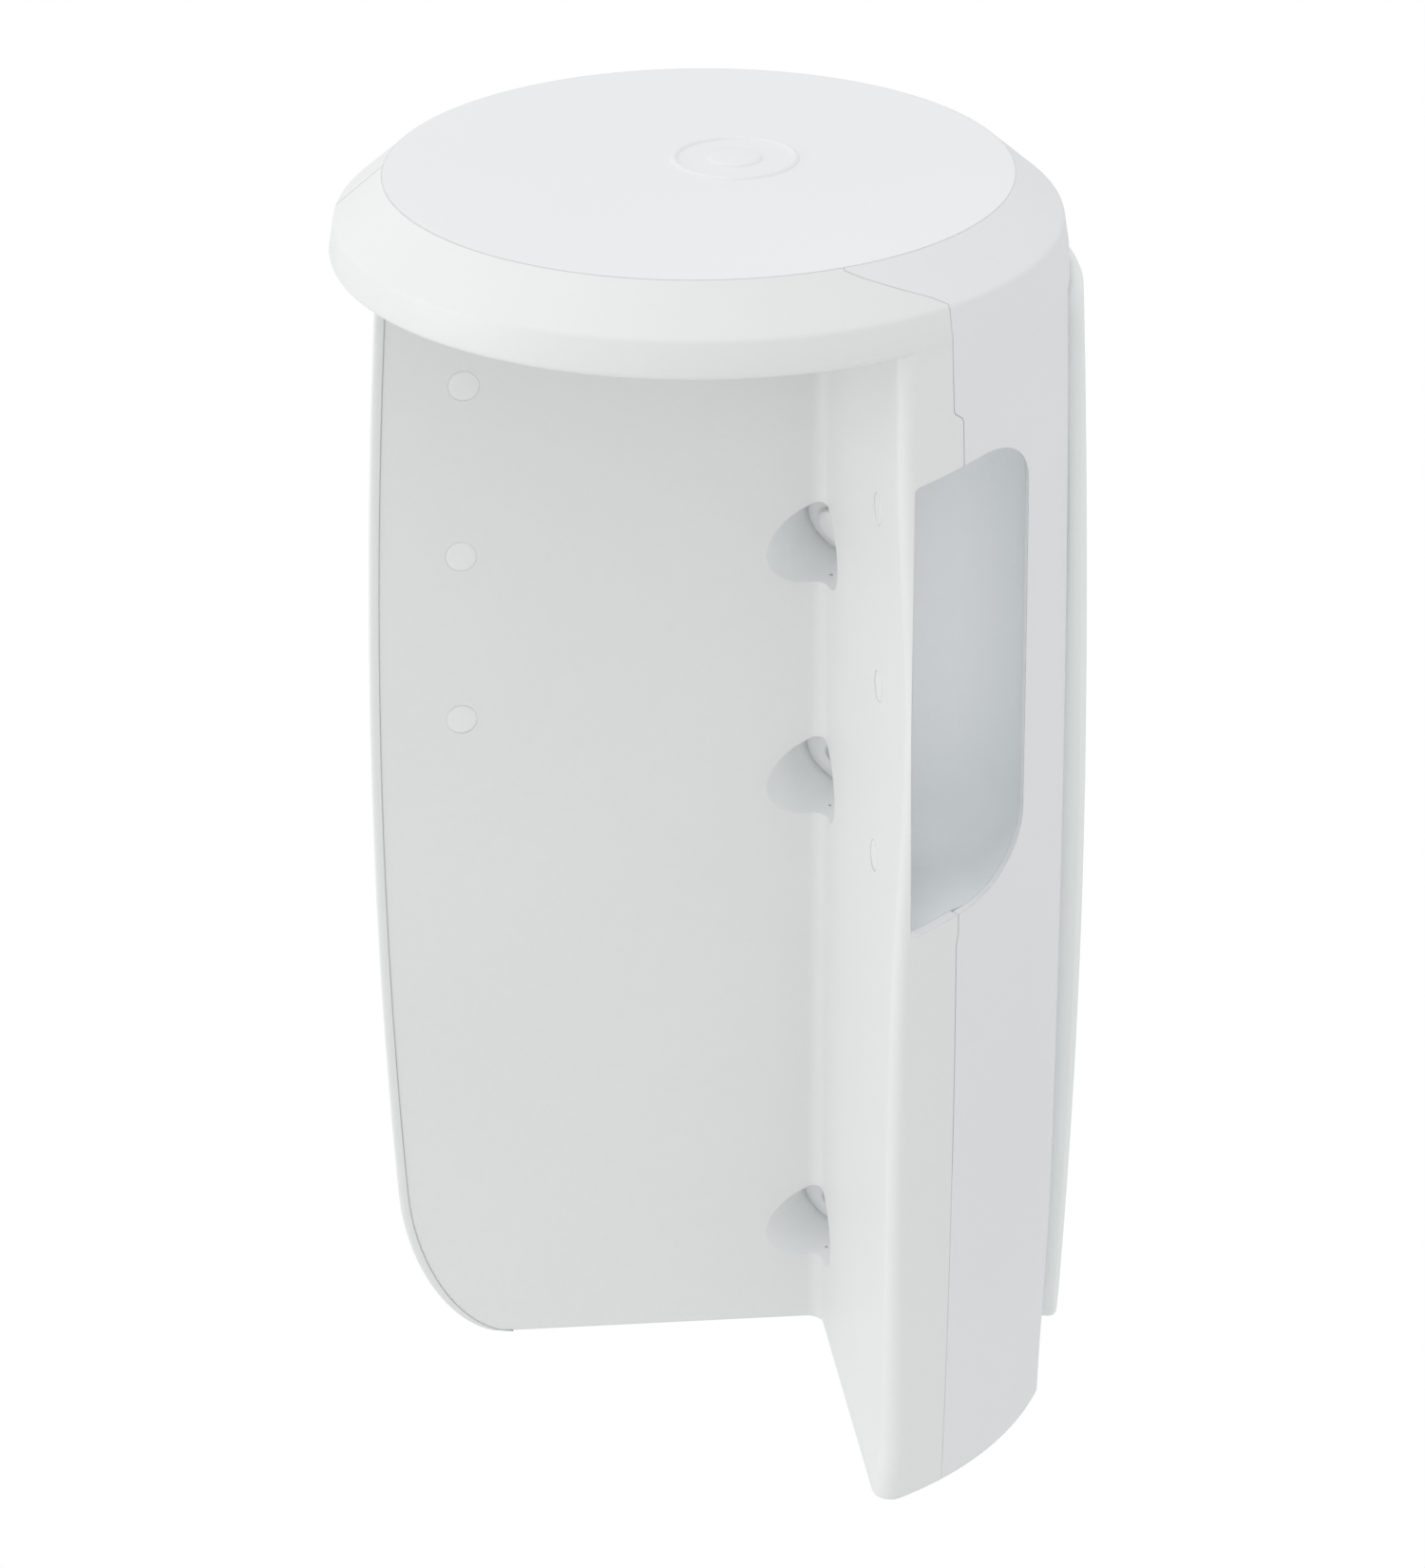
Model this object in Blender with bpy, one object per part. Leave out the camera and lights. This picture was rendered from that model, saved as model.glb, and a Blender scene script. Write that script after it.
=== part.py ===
# Wall-held round safety holder: a barrel-shaped white housing with a bevelled
# round cap, an open quarter bay with three slanted screw pockets, a hand grip
# recess in the right flank and a curved wall cradle that hugs its rear side.
# Metres, +Z up, the wall is on +Y, the open bay is front left (-X, -Y).
# All sizes below are millimetres measured from the cap's centre line at the foot;
# the pieces are moved to their final origin on the wall face at the very end.
# Plan angles (phi) are degrees from the front (-Y) towards the right (+X).
import bpy
import bmesh
import math
from mathutils import Matrix, Vector

MM = 0.001

# ---- general ----
GAP = 0.3                 # air between neighbouring pieces
WALL = 2.8                # front shell and collar wall thickness
HEIGHT = 300.0            # foot to the cap face
ORIGIN_Z = 150.0          # height of the final origin, which lies on the wall face

# ---- cap ----
CAP_FACE_R = 68.5         # flat round top face
COVER_T = 3.0
RIM_TOP_Z = 290.7         # where the bevel meets the upright rim
RIM_TOP_R = 79.4
RIM_BOTTOM_Z = 282.6
BEVEL_Z0 = RIM_TOP_Z + 1.0        # straight part of the bevel
BEVEL_Z1 = HEIGHT - 0.75
SEAM_PHI = 33.2           # seam between front shell and side shell
SEAM_TOP_PHI = 21.0       # the same seam where it reaches the cap face
SEAM_TOP_GAP = 0.55       # seam gap on the bevel
COLLAR_Z = 276.8          # lower edge of the side shell's cap band
COLLAR_END_PHI = 104.0    # and its rear end
RING_LEFT_PHI = -100.0    # left end of the front shell's cap band
BAND_END_GAP = 0.25       # degrees left free at each end of the rear band
RING_CENTRE = (8.5, 5.0)  # raised ring and boss on the cap face
RING_R, RING_INNER_R, BOSS_R = 14.0, 12.6, 6.0
RING_RISE = 0.6

# ---- body: radius = max - bow * (z - height of max)^2 ----
BODY_R_MAX, BODY_R_BOW, BODY_R_Z = 85.7, 1.45e-4, 95.0
BARREL_R_MAX, BARREL_R_BOW, BARREL_R_Z = 76.4, 2.81e-4, 135.0
BARREL_FOOT_H = 45.0      # height of the rounded foot of the rear barrel
BARREL_FOOT_W = 21.6      # and how far it pulls in
BARREL_SKIN = 2.2
FOOT_LIFT = 0.0385        # rise of the foot per step to the left
FOOT_LIFT_X = 28.0        # it starts here
FOOT_LIFT_Z = 40.0        # and fades out at this height

# ---- bay ----
WEB_Y = 1.4               # bay side face of the web
CORNER_X = 28.8           # bay side face of the short wall at the web
CORNER_FILLET = 3.6

# ---- side shell ----
FLANK_WALL = 1.9
FLANK_X = 77.2            # flat side face behind the shell's rounded rear edge
FLANK_DRAW = 2.0          # how far it draws in at the foot
FLANK_DRAW_H = 60.0
FLANK_EDGE_R = 2.0
FLANK_END_Y = 0.6

# ---- hand grip ----
GRIP_X0, GRIP_X1 = 35.0, 63.6
GRIP_Z0, GRIP_Z1 = 148.9, 253.5
GRIP_LEAN = 0.15          # climb of the opening's ends for each step to the right
GRIP_Y = -38.0            # back of the hand recess
GRIP_ROUND = 13.0         # upper right corner
GRIP_ROUND_EXTRA = 2.0    # the lower right corner is this much rounder
CUP_T = 2.0

# ---- slanted screws; depths run along their axis, away from the bay ----
POCKET_Z = (209.8, 150.8, 28.9)
POCKET_R = 9.3
POCKET_DEPTH = 6.3
POCKET_SHELL = 2.4        # material round each pocket
POCKET_AXIS = Vector((-0.683, -0.649, -0.333)).normalized()   # from the seat into the bay
SEAT = POCKET_DEPTH - GAP
WASHER_R, WASHER_T = 8.6, 0.9
HEAD = SEAT - WASHER_T    # depth of the flat screw heads
HEAD_R, HEAD_T = 3.2, 0.9
SHANK_R, SHANK_END = 2.0, 27.0
CLEARANCE_R = 2.35        # screw holes in washers and spine
SHELL_HOLE_R = 2.4        # screw holes in the front shell
CAP_BASE = HEAD - GAP
CAP_R, CAP_RIM_T = 5.0, 0.9
SPINE_NEAR = 16.0         # plan distance from the bay corner to the fixing spine
SPINE_DEPTH = 12.0
SPINE_HALF_W = 7.0

# ---- flush plugs ----
PLUG_R = 3.5
PLUG_SINK = 1.35          # depth of the blind seats of the side plugs
SIDE_PLUG_T = 1.0
WEB_PLUGS = ((-52.3, 251.8), (-54.1, 210.8), (-55.1, 170.2))     # x, z
SIDE_PLUGS = ((-51.7, 239.8), (-49.6, 196.7), (-52.8, 156.8))    # y, z

# ---- wall cradle ----
CRADLE_T = 3.4
CRADLE_PHI0, CRADLE_PHI1 = 69.6, 231.0
CRADLE_Z0, CRADLE_Z1 = 12.0, 276.0
CRADLE_CORNER_R = 7.0
BACK_Y0, BACK_Y1 = 84.0, 92.0      # back plate; BACK_Y1 is the wall face
BACK_Z0, BACK_Z1 = 26.0, 262.0
BACK_HALF_W = 40.0
PAD_INNER_R = 76.95
HANG_Z = 236.0                     # underside of the hanger bar
BAR_H = 8.0

# ---- heights at which the tall pieces are divided ----
FOOT_Z = [0.0, 1.0, 3.0, 6.0, 10.0, 15.0, 21.0, 28.0, 36.0, 45.0]
UPPER_Z = [60.0 + 16.0 * i for i in range(14)]
TALL_Z = FOOT_Z + UPPER_Z

# ---- colours ----
SHELL_WHITE = (0.80, 0.81, 0.82)
PANEL_WHITE = (0.72, 0.74, 0.73)
CUP_WHITE = (0.70, 0.73, 0.74)
SPINE_GREY = (0.45, 0.46, 0.47)
STEEL = (0.55, 0.56, 0.58)
RUBBER = (0.10, 0.16, 0.16)


# ---- scene ----
for old_object in list(bpy.data.objects):
    bpy.data.objects.remove(old_object, do_unlink=True)


def new_collection(name):
    coll = bpy.data.collections.new(name)
    bpy.context.scene.collection.children.link(coll)
    return coll


parts = new_collection("safety_holder")
helpers = new_collection("cutters")


def paint(ob, suffix, colour, roughness, metallic=0.0):
    """Give the piece its own material, named after it."""
    mat = bpy.data.materials.new(f"{ob.name}_{suffix}")
    mat.use_nodes = True
    shader = mat.node_tree.nodes["Principled BSDF"]
    shader.inputs["Base Color"].default_value = (*colour, 1.0)
    shader.inputs["Roughness"].default_value = roughness
    shader.inputs["Metallic"].default_value = metallic
    mat.diffuse_color = (*colour, 1.0)
    ob.data.materials.clear()
    ob.data.materials.append(mat)


# ---- solids: a named one is a piece, an unnamed one a helper for combine() ----
def from_bmesh(bm, name):
    bmesh.ops.recalc_face_normals(bm, faces=bm.faces)
    if bm.calc_volume(signed=True) < 0.0:
        bmesh.ops.reverse_faces(bm, faces=bm.faces)
    label = name or "helper"
    mesh = bpy.data.meshes.new(label)
    bm.to_mesh(mesh)
    bm.free()
    ob = bpy.data.objects.new(label, mesh)
    (parts if name else helpers).objects.link(ob)
    return ob


def bent_box(us, vs, ws, bend, name=None):
    """A block divided at the given values and bent by bend(u, v, w) -> x, y, z."""
    bm = bmesh.new()
    bmesh.ops.create_cube(bm, size=1.0)
    spans = [(values[0], values[-1]) for values in (us, vs, ws)]
    for vert in bm.verts:
        vert.co = Vector([a + (b - a) * (c + 0.5) for (a, b), c in zip(spans, vert.co)])
    for axis, values in enumerate((us, vs, ws)):
        for value in values[1:-1]:
            point = [0.0, 0.0, 0.0]
            normal = [0.0, 0.0, 0.0]
            point[axis] = value
            normal[axis] = 1.0
            bmesh.ops.bisect_plane(bm, geom=list(bm.verts) + list(bm.edges) + list(bm.faces),
                                   dist=1e-5, plane_co=point, plane_no=normal)
    for vert in bm.verts:
        x, y, z = bend(*vert.co)
        vert.co = Vector((x * MM, y * MM, z * MM))
    return from_bmesh(bm, name)


def block(x0, x1, y0, y1, z0, z1, name=None):
    return bent_box((x0, x1), (y0, y1), (z0, z1), lambda x, y, z: (x, y, z), name)


def rod(radius, start, end, segments, end_radius=None, name=None):
    """A round bar, or a cone if end_radius is given."""
    start, end = Vector(start), Vector(end)
    along = end - start
    bm = bmesh.new()
    bmesh.ops.create_cone(bm, cap_ends=True, cap_tris=False, segments=segments,
                          radius1=radius * MM,
                          radius2=(radius if end_radius is None else end_radius) * MM,
                          depth=along.length * MM)
    turn = along.to_track_quat('Z', 'Y').to_matrix().to_4x4()
    place = Matrix.Translation((start + end) * 0.5 * MM) @ turn
    bmesh.ops.transform(bm, matrix=place, verts=bm.verts)
    return from_bmesh(bm, name)


def prism_y(outline, y0, y1, name=None):
    """An x, z outline drawn out along y."""
    bm = bmesh.new()
    verts = [bm.verts.new((x * MM, y0 * MM, z * MM)) for x, z in outline]
    edges = [bm.edges.new((verts[i], verts[(i + 1) % len(verts)])) for i in range(len(verts))]
    bmesh.ops.contextual_create(bm, geom=edges)
    extruded = bmesh.ops.extrude_face_region(bm, geom=list(bm.faces))["geom"]
    far = [item for item in extruded if isinstance(item, bmesh.types.BMVert)]
    bmesh.ops.translate(bm, verts=far, vec=Vector((0.0, (y1 - y0) * MM, 0.0)))
    return from_bmesh(bm, name)


def combine(ob, other, operation):
    """Apply a boolean, clean up its seams and use up the other solid."""
    modifier = ob.modifiers.new("combine", 'BOOLEAN')
    modifier.operation = operation
    modifier.solver = 'EXACT'
    modifier.object = other
    depsgraph = bpy.context.evaluated_depsgraph_get()
    result = bpy.data.meshes.new_from_object(ob.evaluated_get(depsgraph))
    ob.modifiers.clear()
    old = ob.data
    ob.data = result
    bpy.data.meshes.remove(old)
    bm = bmesh.new()
    bm.from_mesh(result)
    bmesh.ops.remove_doubles(bm, verts=bm.verts, dist=2e-6)
    bmesh.ops.dissolve_degenerate(bm, dist=2e-6, edges=bm.edges)
    bm.to_mesh(result)
    bm.free()
    bpy.data.objects.remove(other, do_unlink=True)


def join(ob, *others):
    for other in others:
        combine(ob, other, 'UNION')


def cut(ob, *others):
    for other in others:
        combine(ob, other, 'DIFFERENCE')


# ---- plan geometry ----
def polar(r, phi):
    a = math.radians(phi)
    return r * math.sin(a), -r * math.cos(a)


def degrees_of(length, r):
    return math.degrees(length / r)


def steps(a, b, n):
    return [a + (b - a) * i / n for i in range(n + 1)]


def smooth(t):
    t = min(1.0, max(0.0, t))
    return t * t * (3.0 - 2.0 * t)


def body_r(z):
    """Outer flank radius."""
    return BODY_R_MAX - BODY_R_BOW * (z - BODY_R_Z) ** 2


def barrel_r(z):
    """Outer radius of the rear barrel."""
    r = BARREL_R_MAX - BARREL_R_BOW * (z - BARREL_R_Z) ** 2
    if z < BARREL_FOOT_H:
        k = (BARREL_FOOT_H - z) / BARREL_FOOT_H
        r -= BARREL_FOOT_W * (1.0 - math.sqrt(max(0.0, 1.0 - k * k)))
    return r


def cradle_r(z):
    """Outer radius of the cradle, drawn in below z = 166."""
    drop = 1.7 * ((166.0 - z) / 154.0) ** 2 if z < 166.0 else 0.0
    return body_r(z) + 3.0 - drop


def sector(radii, phi_a, phi_b, n, zs, name=None):
    """Part of a ring between two angles; radii(z) gives its two radii."""
    def bend(u, v, z):
        r0, r1 = radii(z)
        x, y = polar(r0 + (r1 - r0) * v, phi_a + (phi_b - phi_a) * u)
        return x, y, z
    return bent_box(steps(0.0, 1.0, n), (0.0, 1.0), zs, bend, name)


# Plan lines are lists of ((x, y), (normal x, normal y)), normals into the wall.
def arc_line(cx, cy, r, angles, side):
    """Arc about a centre; side is 1 for outward normals, -1 for inward ones."""
    line = []
    for a in angles:
        c, s = math.cos(a), math.sin(a)
        line.append(((cx + r * c, cy + r * s), (side * c, side * s)))
    return line


def flank_line(r, phis):
    points = [polar(r, phi) for phi in phis]
    return [((x, y), (-x / r, -y / r)) for x, y in points]


def wall_along(path_at, thickness):
    """Bend for a wall following the plan line path_at(z); u is the point's index."""
    paths = {}

    def bend(u, v, z):
        key = round(z, 4)
        if key not in paths:
            paths[key] = path_at(z)
        (x, y), (nx, ny) = paths[key][round(u)]
        t = thickness * v
        return x + nx * t, y + ny * t, z
    return bend


def path_stations(path_at):
    return [float(i) for i in range(len(path_at(100.0)))]


# ---- cap band: sections of (radius, z) points from the lower lip to the face edge ----
RIM_R = body_r(RIM_BOTTOM_Z)
SHELF_R = RIM_R - 2.9     # outer edge of the flat plates under the cap


def section_line(start, end, n):
    return list(zip(steps(start[0], end[0], n), steps(start[1], end[1], n)))


BEVEL_OUTER = section_line((RIM_TOP_R - 1.3, BEVEL_Z0), (CAP_FACE_R + 0.9, BEVEL_Z1), 3) + [
    (CAP_FACE_R + 0.25, HEIGHT - 0.2),
    (CAP_FACE_R, HEIGHT),
]
BEVEL_INNER = section_line((RIM_TOP_R - 4.3, RIM_TOP_Z - 1.6),
                           (CAP_FACE_R + 0.2, HEIGHT - 4.0), 3) + [
    (CAP_FACE_R + 0.1, HEIGHT - 3.6),
    (CAP_FACE_R, HEIGHT - 3.2),
]
BAND_OUTER = [
    (RIM_R - 1.3, RIM_BOTTOM_Z),
    (RIM_R - 0.35, RIM_BOTTOM_Z + 0.4),
    (RIM_R, RIM_BOTTOM_Z + 1.4),
    (RIM_TOP_R + 0.25, RIM_TOP_Z - 1.3),
    (RIM_TOP_R - 0.2, RIM_TOP_Z - 0.2),
] + BEVEL_OUTER
BAND_INNER = [
    (RIM_R - 3.4, RIM_BOTTOM_Z),
    (RIM_R - 3.4, RIM_BOTTOM_Z + 0.6),
    (RIM_R - 3.4, RIM_BOTTOM_Z + 1.6),
    (RIM_TOP_R - 3.0, RIM_TOP_Z - 3.0),
    (RIM_TOP_R - 3.6, RIM_TOP_Z - 2.4),
] + BEVEL_INNER
COLLAR_OUTER = [
    (body_r(COLLAR_Z), COLLAR_Z),
    (RIM_R, RIM_BOTTOM_Z),
    (RIM_TOP_R + 0.1, RIM_TOP_Z - 0.4),
    (RIM_TOP_R - 0.5, RIM_TOP_Z + 0.3),
] + BEVEL_OUTER
COLLAR_INNER = [
    (body_r(COLLAR_Z) - WALL, COLLAR_Z),
    (RIM_R - WALL, RIM_BOTTOM_Z),
    (RIM_TOP_R - 3.2, RIM_TOP_Z - 2.6),
    (RIM_TOP_R - 3.8, RIM_TOP_Z - 2.0),
] + BEVEL_INNER


def band(outer, inner, ends, n):
    """Section swept round the cap; ends(r, z) gives its two end angles."""
    def bend(u, v, w):
        (ro, zo), (ri, zi) = outer[round(w)], inner[round(w)]
        phi_a, phi_b = ends(ro, zo)
        x, y = polar(ro + (ri - ro) * v, phi_a + (phi_b - phi_a) * u)
        return x, y, zo + (zi - zo) * v
    stations = [float(i) for i in range(len(outer))]
    return bent_box(steps(0.0, 1.0, n), (0.0, 1.0), stations, bend)


def seam(z):
    """Angle of the seam, which swings forward over the bevel."""
    k = min(1.0, max(0.0, (z - BEVEL_Z0) / (BEVEL_Z1 - BEVEL_Z0)))
    return SEAM_PHI + (SEAM_TOP_PHI - SEAM_PHI) * k


# ---- short wall and front edge ----
def wall_bow(z):
    """How far the short wall's front edge stands right of its root."""
    lower_draw = 0.7 * smooth((200.0 - z) / 100.0)
    grip_bulge = 2.5 * math.exp(-((z - 196.0) / 42.0) ** 2)
    foot_draw = 1.6 * smooth((16.0 - z) / 16.0)
    return 2.4 - lower_draw + grip_bulge - foot_draw


WALL_ROOT_Y = WEB_Y - CORNER_FILLET


def front_edge(z):
    """Radius of the front edge rounding, its wall side x, and its centre x, y."""
    edge_r = 2.9 + 1.4 * smooth((90.0 - z) / 90.0)
    face_x = CORNER_X + wall_bow(z)
    cx = face_x + edge_r
    cy = -math.sqrt((body_r(z) - edge_r) ** 2 - cx * cx)
    return edge_r, face_x, cx, cy


def short_wall_x(y, z):
    """Bay side face of the short wall at depth y."""
    _, face_x, _, cy = front_edge(z)
    return CORNER_X + (face_x - CORNER_X) * (y - WALL_ROOT_Y) / (cy - WALL_ROOT_Y)


def front_path(z):
    """Web, root fillet, short wall, rounded front edge, flank up to the seam."""
    left = -(barrel_r(z) - BARREL_SKIN - GAP)
    fillet_x = CORNER_X - CORNER_FILLET
    line = [((x, WEB_Y), (0.0, 1.0)) for x in steps(left, fillet_x, 4)]
    line += arc_line(fillet_x, WALL_ROOT_Y, CORNER_FILLET,
                     steps(math.pi / 2.0, 0.0, 6)[1:-1], side=1.0)

    edge_r, face_x, cx, cy = front_edge(z)
    slope = (face_x - CORNER_X) / (WALL_ROOT_Y - cy)
    length = math.hypot(1.0, slope)
    nx, ny = 1.0 / length, slope / length
    for x, y in section_line((CORNER_X, WALL_ROOT_Y), (face_x, cy), 5)[:-1]:
        line.append(((x, y), (nx, ny)))

    angles = steps(math.atan2(-ny, -nx), math.atan2(cy, cx), 6)
    line += arc_line(cx, cy, edge_r, angles, side=-1.0)
    edge_phi = math.degrees(math.atan2(cx, -cy))
    return line + flank_line(body_r(z), steps(edge_phi, SEAM_PHI, 3)[1:])


# ---- slanted screw places ----
def pocket_point(z, depth):
    return Vector((CORNER_X, WEB_Y, z)) - POCKET_AXIS * depth


def pocket_rod(z, radius, depth_a, depth_b, segments, end_radius=None, name=None):
    return rod(radius, pocket_point(z, depth_a), pocket_point(z, depth_b), segments,
               end_radius, name)


# ---- hand grip opening ----
def grip_prism(x0, grow, y0, y1, name=None):
    """The opening's shape: straight on the left, rounded on the right, ends leaning.
    grow widens it upwards, downwards and to the right."""
    x1, z0, z1 = GRIP_X1 + grow, GRIP_Z0 - grow, GRIP_Z1 + grow
    r_top = GRIP_ROUND + grow
    r_bottom = GRIP_ROUND + GRIP_ROUND_EXTRA + grow
    outline = [(x0, z0), (x0, z1)]
    for r, cz, angles in ((r_top, z1 - r_top, steps(90.0, 0.0, 6)),
                          (r_bottom, z0 + r_bottom, steps(0.0, -90.0, 6))):
        for a in map(math.radians, angles):
            outline.append((x1 - r + r * math.cos(a), cz + r * math.sin(a)))
    leaning = [(x, z + GRIP_LEAN * (x - GRIP_X0)) for x, z in outline]
    return prism_y(leaning, y0, y1, name)


def grip_cutter():
    return grip_prism(GRIP_X0, 0.0, -120.0, GRIP_Y)


def lift_foot(ob):
    """The foot of the bay and the barrel climbs towards the left."""
    for vert in ob.data.vertices:
        x, z = vert.co.x / MM, vert.co.z / MM
        if x < FOOT_LIFT_X and z < FOOT_LIFT_Z:
            vert.co.z += FOOT_LIFT * (FOOT_LIFT_X - x) * (1.0 - z / FOOT_LIFT_Z) * MM


# ---- pieces ----
def build_front_shell():
    """Web, short wall, front edge, flank strip and cap lip."""
    wall = wall_along(front_path, WALL)

    def bend(u, v, w):
        x, y, z = wall(u, v, w)
        if round(u) == 0:
            # round off the web's left end
            x += 0.5 * WALL * (1.0 - math.sqrt(max(0.0, 1.0 - (2.0 * v - 1.0) ** 2)))
        return x, y, z

    shell = bent_box(path_stations(front_path), (0.0, 0.2, 0.5, 0.8, 1.0),
                     TALL_Z + [RIM_BOTTOM_Z + 1.5], bend, "front_shell")
    join(shell, band(BAND_OUTER, BAND_INNER, lambda r, z: (RING_LEFT_PHI, seam(z)), 30))
    # soffit under the cap above the bay
    join(shell, sector(lambda z: (6.0, SHELF_R), RING_LEFT_PHI + 10.6, SEAM_PHI - 1.0, 26,
                       (RIM_BOTTOM_Z + 0.8, RIM_BOTTOM_Z + 3.4)))

    for z in POCKET_Z:
        tower = pocket_rod(z, POCKET_R + POCKET_SHELL, -16.0, POCKET_DEPTH + 2.6, 36)
        # nothing of it stands in the bay itself
        cut(tower, block(-90.0, CORNER_X + 1.7, -90.0, WEB_Y + 0.9, z - 60.0, z + 60.0))
        join(shell, tower)
    for z in POCKET_Z:
        cut(shell,
            pocket_rod(z, POCKET_R, POCKET_DEPTH, -40.0, 40),
            pocket_rod(z, SHELL_HOLE_R, POCKET_DEPTH + 8.0, POCKET_DEPTH - 2.0, 16))

    cut(shell, grip_cutter())
    for x, z in WEB_PLUGS:
        cut(shell, rod(PLUG_R + GAP, (x, -6.0, z), (x, 12.0, z), 24))
    for y, z in SIDE_PLUGS:
        x = short_wall_x(y, z)
        cut(shell, rod(PLUG_R + GAP, (x - 4.0, y, z), (x + PLUG_SINK, y, z), 24))
    lift_foot(shell)
    paint(shell, "white", SHELL_WHITE, roughness=0.42)


def flank_x(z):
    return FLANK_X - FLANK_DRAW * smooth((FLANK_DRAW_H - z) / FLANK_DRAW_H)


def side_path(z):
    """Right flank from the seam, rounded rear edge, flat side face."""
    r = body_r(z)
    cx = flank_x(z) - FLANK_EDGE_R
    cy = -math.sqrt((r - FLANK_EDGE_R) ** 2 - cx * cx)
    start_phi = SEAM_PHI + degrees_of(GAP, r)
    edge_phi = math.degrees(math.atan2(cx, -cy))
    line = flank_line(r, steps(start_phi, edge_phi, 8))
    line += arc_line(cx, cy, FLANK_EDGE_R, steps(math.atan2(cy, cx), 0.0, 4)[1:], side=-1.0)
    return line + [((flank_x(z), y), (-1.0, 0.0)) for y in steps(cy, FLANK_END_Y, 2)[1:]]


def build_side_shell():
    """Right flank with its part of the cap band, carried further to the rear."""
    shell = bent_box(path_stations(side_path), (0.0, 1.0),
                     [0.0, 12.0, 28.0, 45.0] + UPPER_Z + [RIM_BOTTOM_Z - 3.0],
                     wall_along(side_path, FLANK_WALL), "side_shell")

    def collar_ends(r, z):
        gap = GAP if z < RIM_TOP_Z + 0.5 else SEAM_TOP_GAP
        return seam(z) + degrees_of(gap, r), COLLAR_END_PHI

    join(shell, band(COLLAR_OUTER, COLLAR_INNER, collar_ends, 18))
    cut(shell, grip_cutter())
    paint(shell, "white", SHELL_WHITE, roughness=0.42)


def build_rear_barrel():
    """Half round container behind the web, with the rear part of the cap band."""
    def wall(u, v, z):
        r = barrel_r(z) - BARREL_SKIN * v
        start = 90.0 + math.degrees(math.asin(WEB_Y / r))
        x, y = polar(r, start + (360.0 - 2.0 * start) * u)
        return x, y, z

    floor_r = barrel_r(1.5) - 0.9
    floor_y = 4.6         # front edge of the floor

    def floor(u, v, z):
        x, y = polar(2.0 + (floor_r - 2.0) * v, 90.0 + 180.0 * u)
        return x, floor_y + y * (floor_r - floor_y) / floor_r, z

    barrel = bent_box(steps(0.0, 1.0, 40), (0.0, 1.0), TALL_Z + [RIM_BOTTOM_Z + 1.4],
                      wall, "rear_barrel")
    join(barrel, bent_box(steps(0.0, 1.0, 24), (0.0, 1.0), (0.4, 2.8), floor))
    # flat shelf from the barrel wall out to the cap band
    join(barrel, sector(lambda z: (barrel_r(RIM_BOTTOM_Z) - 1.6, SHELF_R),
                        COLLAR_END_PHI + 1.2, 360.0 + RING_LEFT_PHI - 1.4, 30,
                        (RIM_BOTTOM_Z + 0.5, RIM_BOTTOM_Z + 3.1)))
    ends = (COLLAR_END_PHI + BAND_END_GAP, 360.0 + RING_LEFT_PHI - BAND_END_GAP)
    join(barrel, band(BAND_OUTER, BAND_INNER, lambda r, z: ends, 32))
    # the wall top is lower where the front and side shells' bands pass over it
    for x0, x1, y1 in ((-75.0, -55.0, 14.6), (55.0, 75.0, 17.0)):
        cut(barrel, block(x0, x1, -6.0, y1, RIM_BOTTOM_Z - 0.3, RIM_BOTTOM_Z + 6.0))
    # hooks on the back, open downwards over the hanger bar
    for x0, x1 in ((-22.0, -12.0), (12.0, 22.0)):
        hook = block(x0, x1, 68.5, 83.4, HANG_Z + 8.4, HANG_Z + 14.0)
        join(hook, block(x0 + 0.1, x1 - 0.1, 81.1, 83.3, HANG_Z - 4.0, HANG_Z + 9.5))
        join(barrel, hook)
    lift_foot(barrel)
    paint(barrel, "white", SHELL_WHITE, roughness=0.45)


def build_top_cover():
    """Cap face with a raised ring and a round boss inside it."""
    def disc(radius, below, above, segments):
        return rod(radius, (*RING_CENTRE, HEIGHT - below), (*RING_CENTRE, HEIGHT + above),
                   segments)

    cover = rod(CAP_FACE_R - GAP, (0, 0, HEIGHT - COVER_T), (0, 0, HEIGHT), 96,
                name="top_cover")
    ring = disc(RING_R, 1.0, RING_RISE, 48)
    cut(ring, disc(RING_INNER_R, 3.0, 3.0, 48))
    join(cover, ring, disc(BOSS_R, 1.0, RING_RISE, 40))
    paint(cover, "white", SHELL_WHITE, roughness=0.38)


def build_grip_cup():
    """Hand grip cup behind the opening."""
    cup = grip_prism(GRIP_X0 + GAP, CUP_T, -100.0, GRIP_Y + CUP_T, "grip_cup")
    cut(cup, grip_prism(GRIP_X0 - 5.0, 0.0, -130.0, GRIP_Y))

    # keep only what lies inside the flank wall
    def inside_flank(z):
        r = body_r(z) - (WALL + GAP + 0.25)
        return 0.02 * r, r

    trim = sector(inside_flank, 5.0, 85.0, 20, [120.0] + UPPER_Z[5:13] + [275.0])
    combine(cup, trim, 'INTERSECT')
    # its two lips step clear of the short wall behind the front edge
    for z0, z1 in ((GRIP_Z0 - 6.0, GRIP_Z0 - 0.2), (GRIP_Z1 + 0.2, GRIP_Z1 + 6.0)):
        cut(cup, block(30.0, 36.6, -95.0, -52.0, z0, z1))
    paint(cup, "white", CUP_WHITE, roughness=0.5)


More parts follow.
